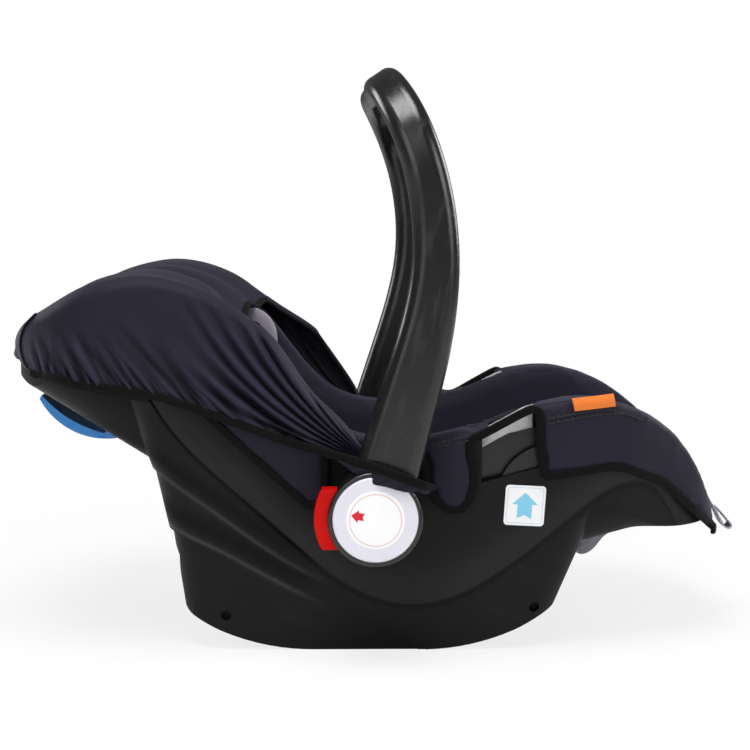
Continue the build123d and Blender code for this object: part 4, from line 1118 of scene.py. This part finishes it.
RIDGE_RIGHT = [(-305, 319), (-277, 336), (-257, 346), (-234, 352), (-209, 355), (-187, 353), (-162, 346),
               (-137, 335.5), (-108, 316.5), (-85, 295.5), (-54, 251.5), (-24, 221), (-2, 192)]
RIDGE_LEFT = [(-305, 319), (-277, 336), (-257, 346), (-234, 353), (-209, 357), (-187, 356), (-162, 350),
              (-137, 339), (-113, 322), (-91, 306.5), (-55, 283), (-44, 269), (-14, 226), (-2, 205)]
HEM = [(-310, 264.5), (-295, 264.5), (-279, 262), (-248, 257), (-198, 249), (-162, 238), (-108, 218),
       (-63, 202), (-18, 187), (12, 177)]
HEAD_SEAM = [(-305, 319), (-317, 307), (-322.5, 294), (-322, 282), (-317, 271), (-310, 264.5)]
HOOD_GROW = 11.3
ROOF_FRONT = -101.0       # where the roof's free edge meets the ridges
FAN = np.array([2.0, 186.0])       # the long folds run together here, beside the hub
GATHER_SPREAD = ([0, 0.78, 1], [0.035, 0.54, 0.80])      # share of the gathers, and place along the hem
GATHER_AT = [0, 0.1, 0.24, 0.42, 0.57, 0.8]              # places along the hem for the next two lists
GATHER_ANGLE = [103, 113, 122, 131, 135, 139]
GATHER_LENGTH = [38, 52, 70, 92, 112, 125]
GATHER_WIDTH = ([0, 0.3, 0.8], [1.4, 1.8, 2.5])
FOLD_AT = [139, 144.5, 149.5, 155, 160, 165, 170]        # directions of the long folds, in degrees
ROOF_WAVES = ((-5.0, -0.52, 0.26), (4.5, -0.02, 0.15), (-7.5, 0.25, 0.13), (3.0, 0.50, 0.12),
              (-4.5, 0.74, 0.11))     # height, centre and width of each
ELASTIC_DEPTH = 3.4
LOOP_DROP = ([0, 0.3, 0.42, 0.56, 0.68, 0.8, 1], [2, 3, 9, 14, 12.5, 7, 3])    # of its cloth, by share
LOOP_START = -60.0        # where the hem leaves the seat's side for the arm
LOOP = [(-32, 197, 194), (-10, 215, 190), (8, 227, 185.5), (22, 229.5, 180.5), (36, 229.5, 175),
        (47, 226, 170.5), (55, 213, 166), (57, 197, 164)]


def crease(off, width):
    """Cross section of a crease with a crest on each side.

    With s = |off| / width it is exp(-s^1.5) - 0.42 exp(-((s - 2.3) / 1.2)^2).
    """
    share = np.abs(off / width)
    return np.exp(-share ** 1.5) - 0.42 * np.exp(-((share - 2.3) / 1.2) ** 2)


def gathers(x, z, hem, count):
    """Depth of the short creases, 1 at most and below 0 on crests, that the elastic draws into the hem.

    Crease i leaves the hem at angle a_i, fades over its length l_i and widens on the way.
    """
    rng = np.random.default_rng(11)
    t = np.interp(np.linspace(0, 1, count), *GATHER_SPREAD) + rng.uniform(-0.006, 0.006, count)
    start = sampled(t, np.linspace(0, 1, len(hem)), hem)
    angle = np.radians(np.interp(t, GATHER_AT, GATHER_ANGLE) + rng.uniform(-3, 3, count))
    length = np.interp(t, GATHER_AT, GATHER_LENGTH) * rng.uniform(0.7, 1.2, count)
    width = np.interp(t, *GATHER_WIDTH) * rng.uniform(0.8, 1.2, count)
    depth = rng.uniform(0.7, 1.2, count)
    dx = x[..., None] - start[:, 0]
    dz = z[..., None] - start[:, 1]
    along = dx * np.cos(angle) + dz * np.sin(angle)
    off = -dx * np.sin(angle) + dz * np.cos(angle)
    spread = width * (1 + 1.6 * np.clip(along / length, 0, 1))
    fade = (1 - smoothstep(along / length)) * ramp(along, -14, -6)
    return np.sum(depth * fade * crease(off, spread), axis=-1)


def long_folds(x, z):
    """Depth of the long folds, 1 at most and below 0 on crests, that fan from the hub to the ridge.

    With r and a the distance and direction from the fan's centre, fold i keeps a + 0.09 r (in degrees and
    millimetres) at its own value; its depth rises over the first 45 mm and fades from 100 mm to its reach.
    """
    rng = np.random.default_rng(5)
    r = np.hypot(x - FAN[0], z - FAN[1])
    turn = np.degrees(np.arctan2(z - FAN[1], x - FAN[0])) + 0.09 * r
    count = len(FOLD_AT)
    at = np.array(FOLD_AT) + rng.uniform(-0.7, 0.7, count)
    width = rng.uniform(0.9, 1.25, count)
    depth = rng.uniform(0.75, 1.05, count)
    reach = rng.uniform(200, 260, count)
    fade = smoothstep(r[..., None] / 45) * (1 - ramp(r[..., None], 100, reach))
    return np.sum(depth * fade * crease(turn[..., None] - at, width), axis=-1)


def hood_side(ridge_line, rows, columns):
    """Side panel between a ridge and the hem: straight lines from ridge share a^1.5 to hem share a.

    It is rolled in along the ridge, swells in the middle and carries both kinds of crease.
    """
    sizes = settings().hood
    a = np.linspace(0, 1, columns)
    ridge = smooth_line(ridge_line, 800)
    hem = smooth_line(HEM, 800)
    steps = np.linspace(0, 1, 800)
    top = sampled(a ** 1.5, steps, ridge)
    low = sampled(a, steps, hem)
    seam = smooth_line(HEAD_SEAM, rows)
    b = np.linspace(0, 1, rows)[:, None, None]
    flat = top[None] * (1 - b) + low[None] * b
    flat = flat + (seam[:, None] - flat[:, :1]) * np.exp(-a / 0.05)[None, :, None]
    x, z = flat[..., 0], flat[..., 1]
    depth = b[..., 0] * np.linalg.norm(top - low, axis=1)[None]
    roll = 9.0 * np.clip(1 - depth / 12.0, 0, 1) ** 2
    billow = 2.6 * np.sin(np.pi * b[..., 0]) * np.sin(np.pi * np.clip(a * 1.2, 0, 1))[None]
    quiet = smoothstep(depth / 18.0) * (1 - 0.45 * smoothstep((b[..., 0] - 0.92) / 0.08))
    creases = np.clip(gathers(x, z, hem, sizes.pleats) + 1.15 * long_folds(x, z), -0.5, 1.25) * quiet
    y = wall_y(x, z, HOOD_GROW) - roll + billow - sizes.pleat_depth / MM * creases
    return np.stack([x, y, z], -1), creases


def roof_columns(side):
    """How many columns of a side panel carry the roof."""
    return int(np.count_nonzero(side[0, :, 0] <= ROOF_FRONT))


def hood_roof(right, left, columns):
    """Roof between the two ridges: points carried across, with crests and troughs that run fore and aft.

    Across the roof the height changes by a sum of a_k exp(-((q - c_k) / w_k)^2), q running from -1 to 1.
    """
    sizes = settings().hood
    count = min(roof_columns(right), roof_columns(left))
    near, far = right[0, :count], left[0, :count]
    q = np.linspace(-1, 1, columns)[None, :, None]
    flat = near[:, None] * (1 - q) / 2 + far[:, None] * (1 + q) / 2
    q = q[..., 0]
    run = np.linspace(0, 1, count)[:, None]
    edge = 1 - q ** 4
    shift = q + 0.55 * (1 - run) ** 2
    waves = 0 * shift
    for height, centre, width in ROOF_WAVES:
        waves = waves + height * np.exp(-((shift - centre) / width) ** 2)
    droop = -4.0 * smoothstep((run - 0.86) / 0.14) * (1 + np.sin(7 * q + 1))
    x = flat[..., 0] - 11.0 * (1 - q ** 2) * (1 - run) - 24.0 * (1 - q ** 2) * run ** 3
    z = flat[..., 2] + (waves * smoothstep(run * 2.2) + droop - sizes.sag / MM * (1 - q ** 2)) * edge
    return np.stack([x, flat[..., 1], z], -1)


def hood_head(right, left, roof, rows):
    """Panel round the head end, blended between its four borders (a Coons patch)."""
    top = roof[0]
    columns = len(top)
    q = np.linspace(0, 1, columns)
    lift = np.sin(np.pi * q)
    start, end = right[-1, 0], left[-1, 0]
    low = start + (end - start) * q[:, None]
    low[:, 0] -= 22.0 * lift ** 0.7
    steps = np.linspace(0, 1, len(right))
    v = np.linspace(0, 1, rows)
    first = sampled(v, steps, right[:, 0])
    last = sampled(v, steps, left[:, 0])
    v = v[:, None, None]
    u = q[None, :, None]
    ruled = top[None] * (1 - v) + low[None] * v + first[:, None] * (1 - u) + last[:, None] * u
    corners = (first[0] * (1 - u) + last[0] * u) * (1 - v) + (first[-1] * (1 - u) + last[-1] * u) * v
    patch = ruled - corners
    patch[..., 0] -= 4.0 * np.sin(np.pi * v[..., 0]) * lift[None] ** 0.6
    return patch


def hood_lap(side, count, rows, reach):
    """Turned-in edge of a side panel in front of the roof, lapped over the rim."""
    ridge = side[0, count - 1:]
    v = np.linspace(0, 1, rows)[:, None]
    run = np.linspace(0, 1, len(ridge))[None]
    x = ridge[None, :, 0] + 0 * v
    y = ridge[None, :, 1] - np.sign(ridge[None, :, 1]) * reach * (1 - 0.5 * run) * v
    z = ridge[None, :, 2] + 1.5 * np.sin(np.pi * v) - 5.0 * v * v
    return np.stack([x, y, z], -1)


class CARSEAT_OT_hood(bpy.types.Operator):
    """Folded hood: one sewn sheet of two gathered sides, a sagging roof and the head panel, with elastic"""

    bl_idname = "carseat.hood"
    bl_label = "Hood"

    def execute(self, context):
        sizes = settings().hood
        right, right_creases = hood_side(RIDGE_RIGHT, 54, 300)
        left, left_creases = hood_side(RIDGE_LEFT, 54, 300)
        right = mirrored(right)
        roof = hood_roof(right, left, 60)
        head = hood_head(right, left, roof, 26)
        laps = [hood_lap(right, len(roof), 7, 17.0), hood_lap(left, len(roof), 7, 12.0)]
        folds = [right_creases, left_creases] + [np.zeros(panel.shape[:2]) for panel in (roof, head, *laps)]
        pieces = [surface(f"panel_{count}", panel, fold)
                  for count, (panel, fold) in enumerate(zip((right, left, roof, head, *laps), folds))]
        hood = joined("folded_hood", pieces)
        with_modifier(hood, "WELD", merge_threshold=0.0004)
        applied(hood)
        outward_faces(hood.data)
        area = mesh_area(hood.data)
        with_modifier(hood, "SOLIDIFY", thickness=sizes.thickness, offset=-1)
        put(hood, "seat", finish("hood_fabric"), ["hood"])
        trims = [self.side_trim("right", right, laps[0]), self.side_trim("left", left, laps[1])]
        trims.append(self.cross_trim(roof, head))
        for name, flip in (("left", 1), ("right", -1)):
            trims += self.loop(name, np.array([1, flip, 1]), left)
        return {"FINISHED"}

    def hem(self, side):
        """Middle line of the elastic along a side panel's hem, up to the loop."""
        low = side[-1, side[-1, :, 0] < LOOP_START]
        return smooth_line(np.vstack([low[:-4:9], low[-1:]]), 200) + np.array([0, np.sign(low[0, 1]), -1.0])

    def side_trim(self, name, side, lap):
        """Elastic along the hem, piping down the head seam and binding on the lapped edge of one side."""
        width = settings().hood.hem_width / MM
        flip = np.sign(side[0, 0, 1])
        hem = self.hem(side)
        out = np.tile([0.0, flip, -0.12], (len(hem), 1))
        parts = [band(f"elastic_{name}", hem, out, width, ELASTIC_DEPTH)]
        seam = smooth_line(side[::6, 0], 60)
        out = normalized(seam - np.array([-250.0, 100.0 * flip, 290.0]))
        parts.append(band(f"piping_{name}", seam, out, ELASTIC_DEPTH, ELASTIC_DEPTH, 1.0))
        edge = smooth_line(lap[-1, ::10], 120)
        out = np.tile([0.0, 0.2 * flip, 1.0], (len(edge), 1))
        parts.append(band(f"edge_{name}", edge, out, 6.0, ELASTIC_DEPTH))
        return put(joined(f"hood_elastic_{name}", parts), "seat", finish("binding_tape"))

    def cross_trim(self, roof, head):
        """Binding of the roof's free edge and the elastic under the head panel."""
        front = smooth_line(roof[-1, ::3], 120)
        out = np.tile([0.6, 0.0, 0.8], (len(front), 1))
        low = smooth_line(head[-1, ::3], 120)
        below = np.tile([-1.0, 0.0, 0.0], (len(low), 1))
        parts = [band("front_edge", front, out, 6.5, 4.2),
                 band("head_hem", low, below, settings().hood.hem_width / MM, ELASTIC_DEPTH)]
        return put(joined("hood_cross_elastic", parts), "seat", finish("binding_tape"))

    def loop(self, name, turn, side):
        """Loop of the hem round the base of one arm: a band and a gathered strip of cloth below it."""
        width = settings().hood.hem_width / MM
        path = smooth_line(np.vstack([self.hem(side)[[-14, -3]], LOOP]), 110)
        out = np.tile([-0.15, 1.0, -0.1], (len(path), 1))
        tape = band(f"loop_tape_{name}", path * turn, out * turn, width, ELASTIC_DEPTH)
        run = np.linspace(0, 1, len(path))[:, None]
        v = np.linspace(0, 1, 16)[None]
        drop = np.interp(run, *LOOP_DROP)
        gather = 1.3 * np.sin(64 * run + 5 * v) * v * (1 - 0.4 * v)
        x = path[:, :1] - 3.0 * v + 0 * run
        y = path[:, 1:2] - 0.6 + gather - 1.2 * v
        z = path[:, 2:] - drop * v + 0.6 * np.sin(41 * run) * v
        creases = np.clip(-gather / 1.3, 0, 1) + 0 * z
        cloth = surface(f"hood_loop_cloth_{name}", np.stack([x + 0 * z, y + 0 * z, z], -1) * turn, creases)
        with_modifier(cloth, "SOLIDIFY", thickness=0.0012, offset=0)
        applied(cloth)
        for piece, look in ((tape, "binding_tape"), (cloth, "hood_fabric")):
            put(piece, "seat", finish(look))
            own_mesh(piece)
        return [tape, cloth]


# Infant insert

BACK_OUT = np.array([0.53, 0.0, 0.848])      # direction off the back


class CARSEAT_OT_insert(bpy.types.Operator):
    """Infant insert and shoulder pads: stuffed copies of their fitted shapes"""

    bl_idname = "carseat.insert"
    bl_label = "Insert"

    def execute(self, context):
        sizes = settings().insert
        for node, name, look, slot in (
                ("head_pillow", "stuffed_head_pillow", "insert_jersey", "insert_fabric"),
                ("body_cushion", "stuffed_body_cushion", "insert_jersey", "insert_fabric"),
                ("shoulder_pad_left", "stuffed_pad_left", "cover_fabric", "cover_fabric"),
                ("shoulder_pad_right", "stuffed_pad_right", "cover_fabric", "cover_fabric")):
            small = node.startswith("shoulder")
            piece = remeshed(node, name, sizes.voxel * (0.6 if small else 1.0))
            off = points_of(piece.data) @ BACK_OUT
            held = off < np.percentile(off, 8 if small else 4)
            stuffed(piece, sizes.pressure, sizes.swell * (0.35 if small else 0.6), held)
            if node == "head_pillow":
                self.lean(piece.data)
            put(piece, "seat", finish(look), [node])
        return {"FINISHED"}

    def lean(self, mesh):
        """Let the pillow's bolsters lean forward, in proportion to how far they stand off the back."""
        points = points_of(mesh) / MM
        off = (points[:, [0, 2]] - BIGHT) @ np.array([math.sin(RECLINE), math.cos(RECLINE)])
        share = np.clip((off - 40) / 88, 0, 1.2)
        points[:, 0] += 32 * share
        points[:, 2] -= 2 * share
        move_points(mesh, points * MM)


# Belts

BELT_WIDTH = 25.0
BELT_THICK = 1.6
BACK_LAYERS = (3.5, 0.3, 8.0, 0.3, 21.0, 0.3)      # wall, cover and insert, each with the gap over it
STRAP_Y = 42.0            # shoulder belts, from the middle
STRAP_LOW = 66.0          # up the back: where a shoulder belt starts,
STRAP_SLOT = 204.0        # its slot
STRAP_YOKE = 140.0        # and the yoke
BEHIND = -1.6             # belts behind the back, off its face
CROTCH_SLOT = 92.0        # along the seat
BUCKLE = np.array([54.0, 133.0])
BUCKLE_FOOT = 28.1        # from the buckle's middle to its foot
BUCKLE_TILT = math.radians(47)
TAIL_FRONT = [(206, 73), (222, 74), (233, 88), (250, 103), (263, 113), (263, 117.1)]
TAIL_ROUNDS = [60, 40, 20, 14, 20, 30, 4]


def back_place(up, off):
    """Side-view place up the back and off its outer face."""
    return BIGHT + up * np.array([-math.cos(RECLINE), math.sin(RECLINE)]) + off * np.array(
        [math.sin(RECLINE), math.cos(RECLINE)])


def seat_place(along, off):
    """Side-view place along the seat and off its outer face."""
    return BIGHT + along * np.array([math.cos(SEAT_RISE), math.sin(SEAT_RISE)]) + off * np.array(
        [-math.sin(SEAT_RISE), math.cos(SEAT_RISE)])


def belt(name, path, stands_for, twist=0.0):
    """Belt along a path that keeps to one side view, turned about its run by the twist."""
    along = normalized(np.gradient(path, axis=0))
    up = np.stack([-along[:, 2], 0 * along[:, 1], along[:, 0]], 1)
    turn = np.broadcast_to(twist, len(path))[:, None]
    out = up * np.cos(turn) + np.array([0.0, -1.0, 0.0]) * np.sin(turn)
    piece = band(name, path, out, BELT_WIDTH, BELT_THICK, 0.35, 20)
    return put(piece, "seat", finish("belt_webbing"), stands_for)


def flat_belt(name, line, y, stands_for, twist=0.0):
    """Belt along a side-view line at one distance from the middle."""
    path = np.stack([line[:, 0], np.full(len(line), y), line[:, 1]], 1)
    return belt(name, path, stands_for, twist)


class CARSEAT_OT_belts(bpy.types.Operator):
    """Harness belts as woven bands on the routes of their solids"""

    bl_idname = "carseat.belts"
    bl_label = "Belts"

    def execute(self, context):
        off = sum(BACK_LAYERS) + BELT_THICK / 2
        shoulder = [back_place(STRAP_LOW, off), back_place(STRAP_SLOT, off), back_place(STRAP_SLOT, BEHIND),
                    back_place(STRAP_YOKE, BEHIND)]
        line = rounded_line(shoulder, [1.6, 1.2], 160)
        for side, y in (("left", STRAP_Y), ("right", -STRAP_Y)):
            flat_belt(f"shoulder_belt_{side}", line, y, [f"shoulder_strap_{side}"])
        foot = BUCKLE - BUCKLE_FOOT * np.array([-math.cos(BUCKLE_TILT), math.sin(BUCKLE_TILT)])
        crotch = [seat_place(CROTCH_SLOT, -6), seat_place(CROTCH_SLOT, 39.1), foot]
        flat_belt("crotch_belt", rounded_line(crotch, [12], 160), 0.0, ["crotch_strap"])
        knee = seat_place(-16 * math.tan(math.radians(23.5)), -16)
        tail = [back_place(118, BEHIND), knee, seat_place(120, -14), *TAIL_FRONT]
        line = rounded_line(tail, TAIL_ROUNDS, 240)
        twist = np.pi / 2 * ramp(line[:, 0], 204, 226) * (1 - ramp(line[:, 0], 234, 252))
        flat_belt("adjuster_belt", line, 0.0, ["adjuster_strap"], np.where(line[:, 1] < 104, twist, 0))
        return {"FINISHED"}


PULL_ROUTE = [(267, 117.6), (288, 117.6), (292, 125.5), (308, 171), (322, 171), (348.7, 119), (358, 104),
              (363, 95)]
PULL_END = [(355, 110.5), (359, 101), (363.5, 93), (369, 90), (371.5, 93.5), (367, 99.5), (356.5, 111.5)]


class CARSEAT_OT_pull_strap(bpy.types.Operator):
    """Free tail of the adjuster belt over the front lip"""

    bl_idname = "carseat.pull_strap"
    bl_label = "Pull strap"

    def execute(self, context):
        curve = bpy.data.curves.new("pull_route", "CURVE")
        curve.dimensions = "3D"
        spline = curve.splines.new("NURBS")
        spline.points.add(len(PULL_ROUTE) - 1)
        for point, (x, z) in zip(spline.points, PULL_ROUTE):
            point.co = (x * MM, 0.0, z * MM, 1.0)
        spline.order_u = 3
        spline.use_endpoint_u = True
        spline.resolution_u = 24
        route = bpy.data.objects.new("pull_route", curve)
        bpy.context.scene.collection.objects.link(route)
        graph = bpy.context.evaluated_depsgraph_get()
        path = points_of(bpy.data.meshes.new_from_object(route.evaluated_get(graph))) / MM
        bpy.data.objects.remove(route)
        piece = belt("pull_belt", path, ["pull_strap"])
        end = flat_belt("pull_belt_end", smooth_line(PULL_END, 60), 0.0, ())
        return {"FINISHED"}


# Labels

HUB_FACE = 224.7
FILM_RADIUS = 26.3
FILM_LINE = 23.3          # radius of the thin ring on the film
HUB_ARROW = (12.0, 11.6, 6.4, 6.6, 1.6)            # length, width, head, shaft and notch
HUB_ARROW_PLACE = np.array([-15.8, 3.6])           # from the hub's middle
HUB_ARROW_TILT = math.radians(8)
FOOT_HOLES = [(-134.0, 34.0), (156.0, 41.0)]
HOLE_RADIUS = 7.5
HOLE_DEPTH = 14.0
BELT_LABEL = np.array([144.5, 141.0])
BELT_LABEL_TILT = math.radians(-3.0)
BELT_ARROW = (25.0, 24.0, 11.5, 13.6, 3.6)
LABEL_LIFT = 0.18         # of a film off the plastic
INK_LIFT = 0.12           # and of the ink off its film
ROUND_STEPS = 97


def disc(name, centre, radius, y):
    """Flat round film with a soft rim: rings of radius r s at shares s, sinking at the edge."""
    share = np.concatenate([[0.0005], np.linspace(0.15, 0.97, 8), [0.99, 1.0]])
    drop = np.concatenate([np.zeros(9), [-0.06, -0.16]])
    angle = np.linspace(0, 2 * np.pi, ROUND_STEPS)
    x = centre[0] + radius * share[:, None] * np.cos(angle)
    z = centre[1] + radius * share[:, None] * np.sin(angle)
    depth = y + np.sign(y) * drop[:, None] + 0 * x
    piece = surface(name, np.stack([x, depth, z], -1))
    with_modifier(piece, "WELD", merge_threshold=2e-5)
    applied(piece)
    outward_faces(piece.data)
    return piece


def ring(name, centre, radius, width, y):
    """Thin flat ring: two circles at radius r -+ w/2."""
    angle = np.linspace(0, 2 * np.pi, ROUND_STEPS)
    size = radius + width * np.array([-0.5, 0.5])[:, None]
    x = centre[0] + size * np.cos(angle)
    z = centre[1] + size * np.sin(angle)
    piece = surface(name, np.stack([x, y + 0 * x, z], -1))
    outward_faces(piece.data)
    return piece


def arrow_outline(length, width, head, shaft, notch):
    """Outline of a plain arrow that points to +x, with a notched tail, centred on the origin."""
    half = length / 2
    neck = half - head
    return np.array([(-half, -shaft / 2), (neck, -shaft / 2), (neck, -width / 2), (half, 0),
                     (neck, width / 2), (neck, shaft / 2), (-half, shaft / 2), (notch - half, 0)])


def flat_shape(name, points):
    """Flat closed outline as one face."""
    piece = as_object(name, new_mesh(name, points, [list(range(len(points)))]))
    outward_faces(piece.data)
    return piece


def turned(points, angle):
    """Points in the plane, turned about the origin."""
    cos, sin = math.cos(angle), math.sin(angle)
    return points @ np.array([[cos, sin], [-sin, cos]])


def rounded_square(width, height, radius):
    """Outline of a rectangle with round corners."""
    turns = np.linspace(0, np.pi / 2, 9)
    corners = []
    for count, (sx, sy) in enumerate(((1, 1), (-1, 1), (-1, -1), (1, -1))):
        angle = turns + count * np.pi / 2
        corners.append(np.stack([sx * (width / 2 - radius) + radius * np.cos(angle),
                                 sy * (height / 2 - radius) + radius * np.sin(angle)], 1))
    return np.vstack(corners)


class CARSEAT_OT_labels(bpy.types.Operator):
    """Films on the hub caps with an arrow to the button, the belt arrow on the near side and the bare tag"""

    bl_idname = "carseat.labels"
    bl_label = "Labels"

    def execute(self, context):
        for side, flip in (("left", 1), ("right", -1)):
            film = disc(f"hub_film_{side}", HUB, FILM_RADIUS, flip * (HUB_FACE + LABEL_LIFT))
            put(film, "handle", finish("label_white"))
            here = flip * (HUB_FACE + LABEL_LIFT + INK_LIFT)
            line = ring(f"hub_film_line_{side}", HUB, FILM_LINE, 0.55, here)
            put(line, "handle", finish("line_red"))
            x, z = turned(arrow_outline(*HUB_ARROW), HUB_ARROW_TILT).T
            middle = HUB + HUB_ARROW_PLACE
            arrow = np.stack([middle[0] - x, np.full(len(x), here), middle[1] + z], 1)
            mark = flat_shape(f"hub_arrow_{side}", arrow)
            put(mark, "handle", finish("arrow_red"))
            for count, place in enumerate(FOOT_HOLES):
                # A disc of shell black set inside each foot hole: a dark sheet that stands for the shade in
                # the hole, so that the floor does not show through.
                depth = flip * (wall_y(*place, 0.0) - HOLE_DEPTH)
                back = disc(f"foot_hole_shade_disc_{side}_{count}", place, HOLE_RADIUS, depth)
                put(back, "seat", finish("moulded_black"))
        self.belt_label()
        self.tag()
        return {"FINISHED"}

    def belt_label(self):
        """White square on the near wall with a plain arrow that points up."""
        square = flat_shape("belt_label", self.on_wall(rounded_square(37.5, 38.5, 3.5), 0.3))
        put(square, "seat", finish("label_white"))
        inner, outer = rounded_square(32.6, 33.6, 2.2), rounded_square(33.4, 34.4, 2.6)
        closed = [np.vstack([line, line[:1]]) for line in (inner, outer)]
        frame_line = surface("belt_label_line", np.stack([self.on_wall(line, 0.42) for line in closed]))
        outward_faces(frame_line.data)
        put(frame_line, "seat", finish("line_blue"))
        arrow = arrow_outline(*BELT_ARROW)[:, ::-1]
        mark = flat_shape("belt_label_arrow", self.on_wall(arrow, 0.45))
        put(mark, "seat", finish("arrow_blue"))

    def on_wall(self, outline, lift):
        """Outline of the belt label carried to the near wall, lifted off it."""
        x, z = (turned(outline, BELT_LABEL_TILT) + BELT_LABEL).T
        return np.stack([x, -wall_y(x, z, 0.0) - lift, z], 1)

    def tag(self):
        """Woven tag sewn to the rim of the front section on the near side, standing a little above it."""
        x, v = np.meshgrid(np.linspace(187, 226, 30), np.linspace(0, 1, 16), indexing="ij")
        z = 231.5 + 0.09 * (x - 187) + 11.6 * v
        x = x - 2.5 * v
        y = wall_y(x, z, COVER_GROW) + 1.7 + 0.7 * np.sin(np.pi * v) - 1.6 * v ** 2
        piece = surface("rim_tag", np.stack([x, -y, z], -1))
        with_modifier(piece, "SOLIDIFY", thickness=0.0007, offset=0)
        put(piece, "seat", finish("woven_tag"))


# Stage

FLOOR_HALF = 14.0
LAMPS = (      # name, place, target, size in metres and power in watts
    ("overhead", (-0.2, -0.75, 2.1), (0.0, 0.0, 0.25), 1.3, 45.0),
    ("front", (-0.9, -2.3, 1.1), (0.0, -0.1, 0.25), 1.6, 13.0),
    ("side", (1.7, -1.5, 0.95), (0.05, -0.1, 0.30), 1.2, 14.0),
    ("rim_head", (-1.7, 0.9, 1.0), (0.0, -0.1, 0.30), 1.0, 15.0),
    ("rim_feet", (1.7, 0.8, 0.9), (0.0, -0.1, 0.30), 1.0, 17.0))


class CARSEAT_OT_stage(bpy.types.Operator):
    """Pale floor, soft lamps and the camera"""

    bl_idname = "carseat.stage"
    bl_label = "Stage"

    def execute(self, context):
        scene = context.scene
        scene.view_settings.view_transform = "Standard"
        self.floor()
        self.world(scene)
        self.lamps()
        studio = settings().studio
        data = bpy.data.cameras.new("camera")
        data.lens = studio.lens
        data.sensor_width = 36.0
        data.clip_start = 0.05
        camera = bpy.data.objects.new("camera", data)
        camera.location = studio.camera_place
        camera.rotation_euler = (math.pi / 2 - studio.pitch, 0.0, -studio.yaw)
        scene.collection.objects.link(camera)
        scene.camera = camera
        return {"FINISHED"}

    def floor(self):
        """White floor that shows as the background to the camera and keeps a soft shadow near the seat."""
        mesh = bpy.data.meshes.new("floor")
        corners = [(x * FLOOR_HALF, y * FLOOR_HALF, 0) for x, y in ((-1, -1), (1, -1), (1, 1), (-1, 1))]
        mesh.from_pydata(corners, [], [(0, 1, 2, 3)])
        piece = bpy.data.objects.new("floor", mesh)
        bpy.context.scene.collection.objects.link(piece)
        material = bpy.data.materials.new("floor")
        material.use_nodes = True
        kit = Kit(material.node_tree)
        kit.tree.nodes.clear()
        x, y, _ = kit.axes(kit.add("ShaderNodeTexCoord").outputs["Object"])
        far = kit.between((x * x + y * y) ** 0.5, 0.40, 1.0)
        seen = kit.rays("Is Camera Ray") + kit.rays("Is Transmission Ray") + kit.rays("Is Glossy Ray") * 0.14
        matt = kit.add("ShaderNodeBsdfDiffuse", None, {"Color": (0.80, 0.80, 0.80, 1)})
        white = kit.add("ShaderNodeEmission", None, {"Color": (1, 1, 1, 1), "Strength": 1.0})
        share = kit.sums("MINIMUM", seen * (0.80 + far * 0.20), 1.0)
        kit.mixed(share, matt, white, "ShaderNodeOutputMaterial")
        mesh.materials.append(material)

    def world(self, scene):
        """Even surrounding light, white to the camera."""
        world = bpy.data.worlds.new("studio")
        scene.world = world
        world.use_nodes = True
        kit = Kit(world.node_tree)
        kit.tree.nodes.clear()
        light = kit.add("ShaderNodeBackground", None,
                        {"Color": (0.96, 0.97, 1.0, 1), "Strength": settings().studio.sky})
        white = kit.add("ShaderNodeBackground", None, {"Color": (1, 1, 1, 1), "Strength": 1.0})
        seen = kit.sums("MAXIMUM", kit.rays("Is Camera Ray"), kit.rays("Is Transmission Ray"))
        kit.mixed(seen, light, white, "ShaderNodeOutputWorld")

    def lamps(self):
        """Large soft lamps: overhead, in front, at one side, and two behind that draw the edges."""
        for name, place, target, size, power in LAMPS:
            data = bpy.data.lights.new(name, "AREA")
            data.shape = "DISK"
            data.size = size
            data.energy = power
            lamp = bpy.data.objects.new(name, data)
            lamp.location = place
            aim = Vector(target) - Vector(place)
            lamp.rotation_euler = aim.to_track_quat("-Z", "Y").to_euler()
            bpy.context.scene.collection.objects.link(lamp)


class CARSEAT_PT_panel(bpy.types.Panel):
    """Buttons for every group of pieces"""

    bl_idname = "CARSEAT_PT_panel"
    bl_label = "Car Seat"
    bl_space_type = "VIEW_3D"
    bl_region_type = "UI"
    bl_category = "Car Seat"

    def draw(self, context):
        for operator in OPERATORS:
            self.layout.operator(operator.bl_idname)


OPERATORS = (
    CARSEAT_OT_stage, CARSEAT_OT_hard_parts, CARSEAT_OT_pull_strap, CARSEAT_OT_belts, CARSEAT_OT_seat_cover,
    CARSEAT_OT_cover_trim, CARSEAT_OT_hood, CARSEAT_OT_insert, CARSEAT_OT_labels)
GROUPS = (CoverSettings, HoodSettings, InsertSettings, ColourSettings, StudioSettings, SeatSettings)


def register():
    """Register the settings, the operators and the panel."""
    for item in GROUPS + OPERATORS + (CARSEAT_PT_panel,):
        bpy.utils.register_class(item)
    bpy.types.Scene.car_seat = PointerProperty(type=SeatSettings)


def unregister():
    """Take everything out again."""
    del bpy.types.Scene.car_seat
    for item in reversed(GROUPS + OPERATORS + (CARSEAT_PT_panel,)):
        bpy.utils.unregister_class(item)


def main():
    """Dress the seat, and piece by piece."""
    register()
    for operator in OPERATORS:
        group, name = operator.bl_idname.split(".")
        getattr(getattr(bpy.ops, group), name)()


if __name__ == "__main__":
    main()
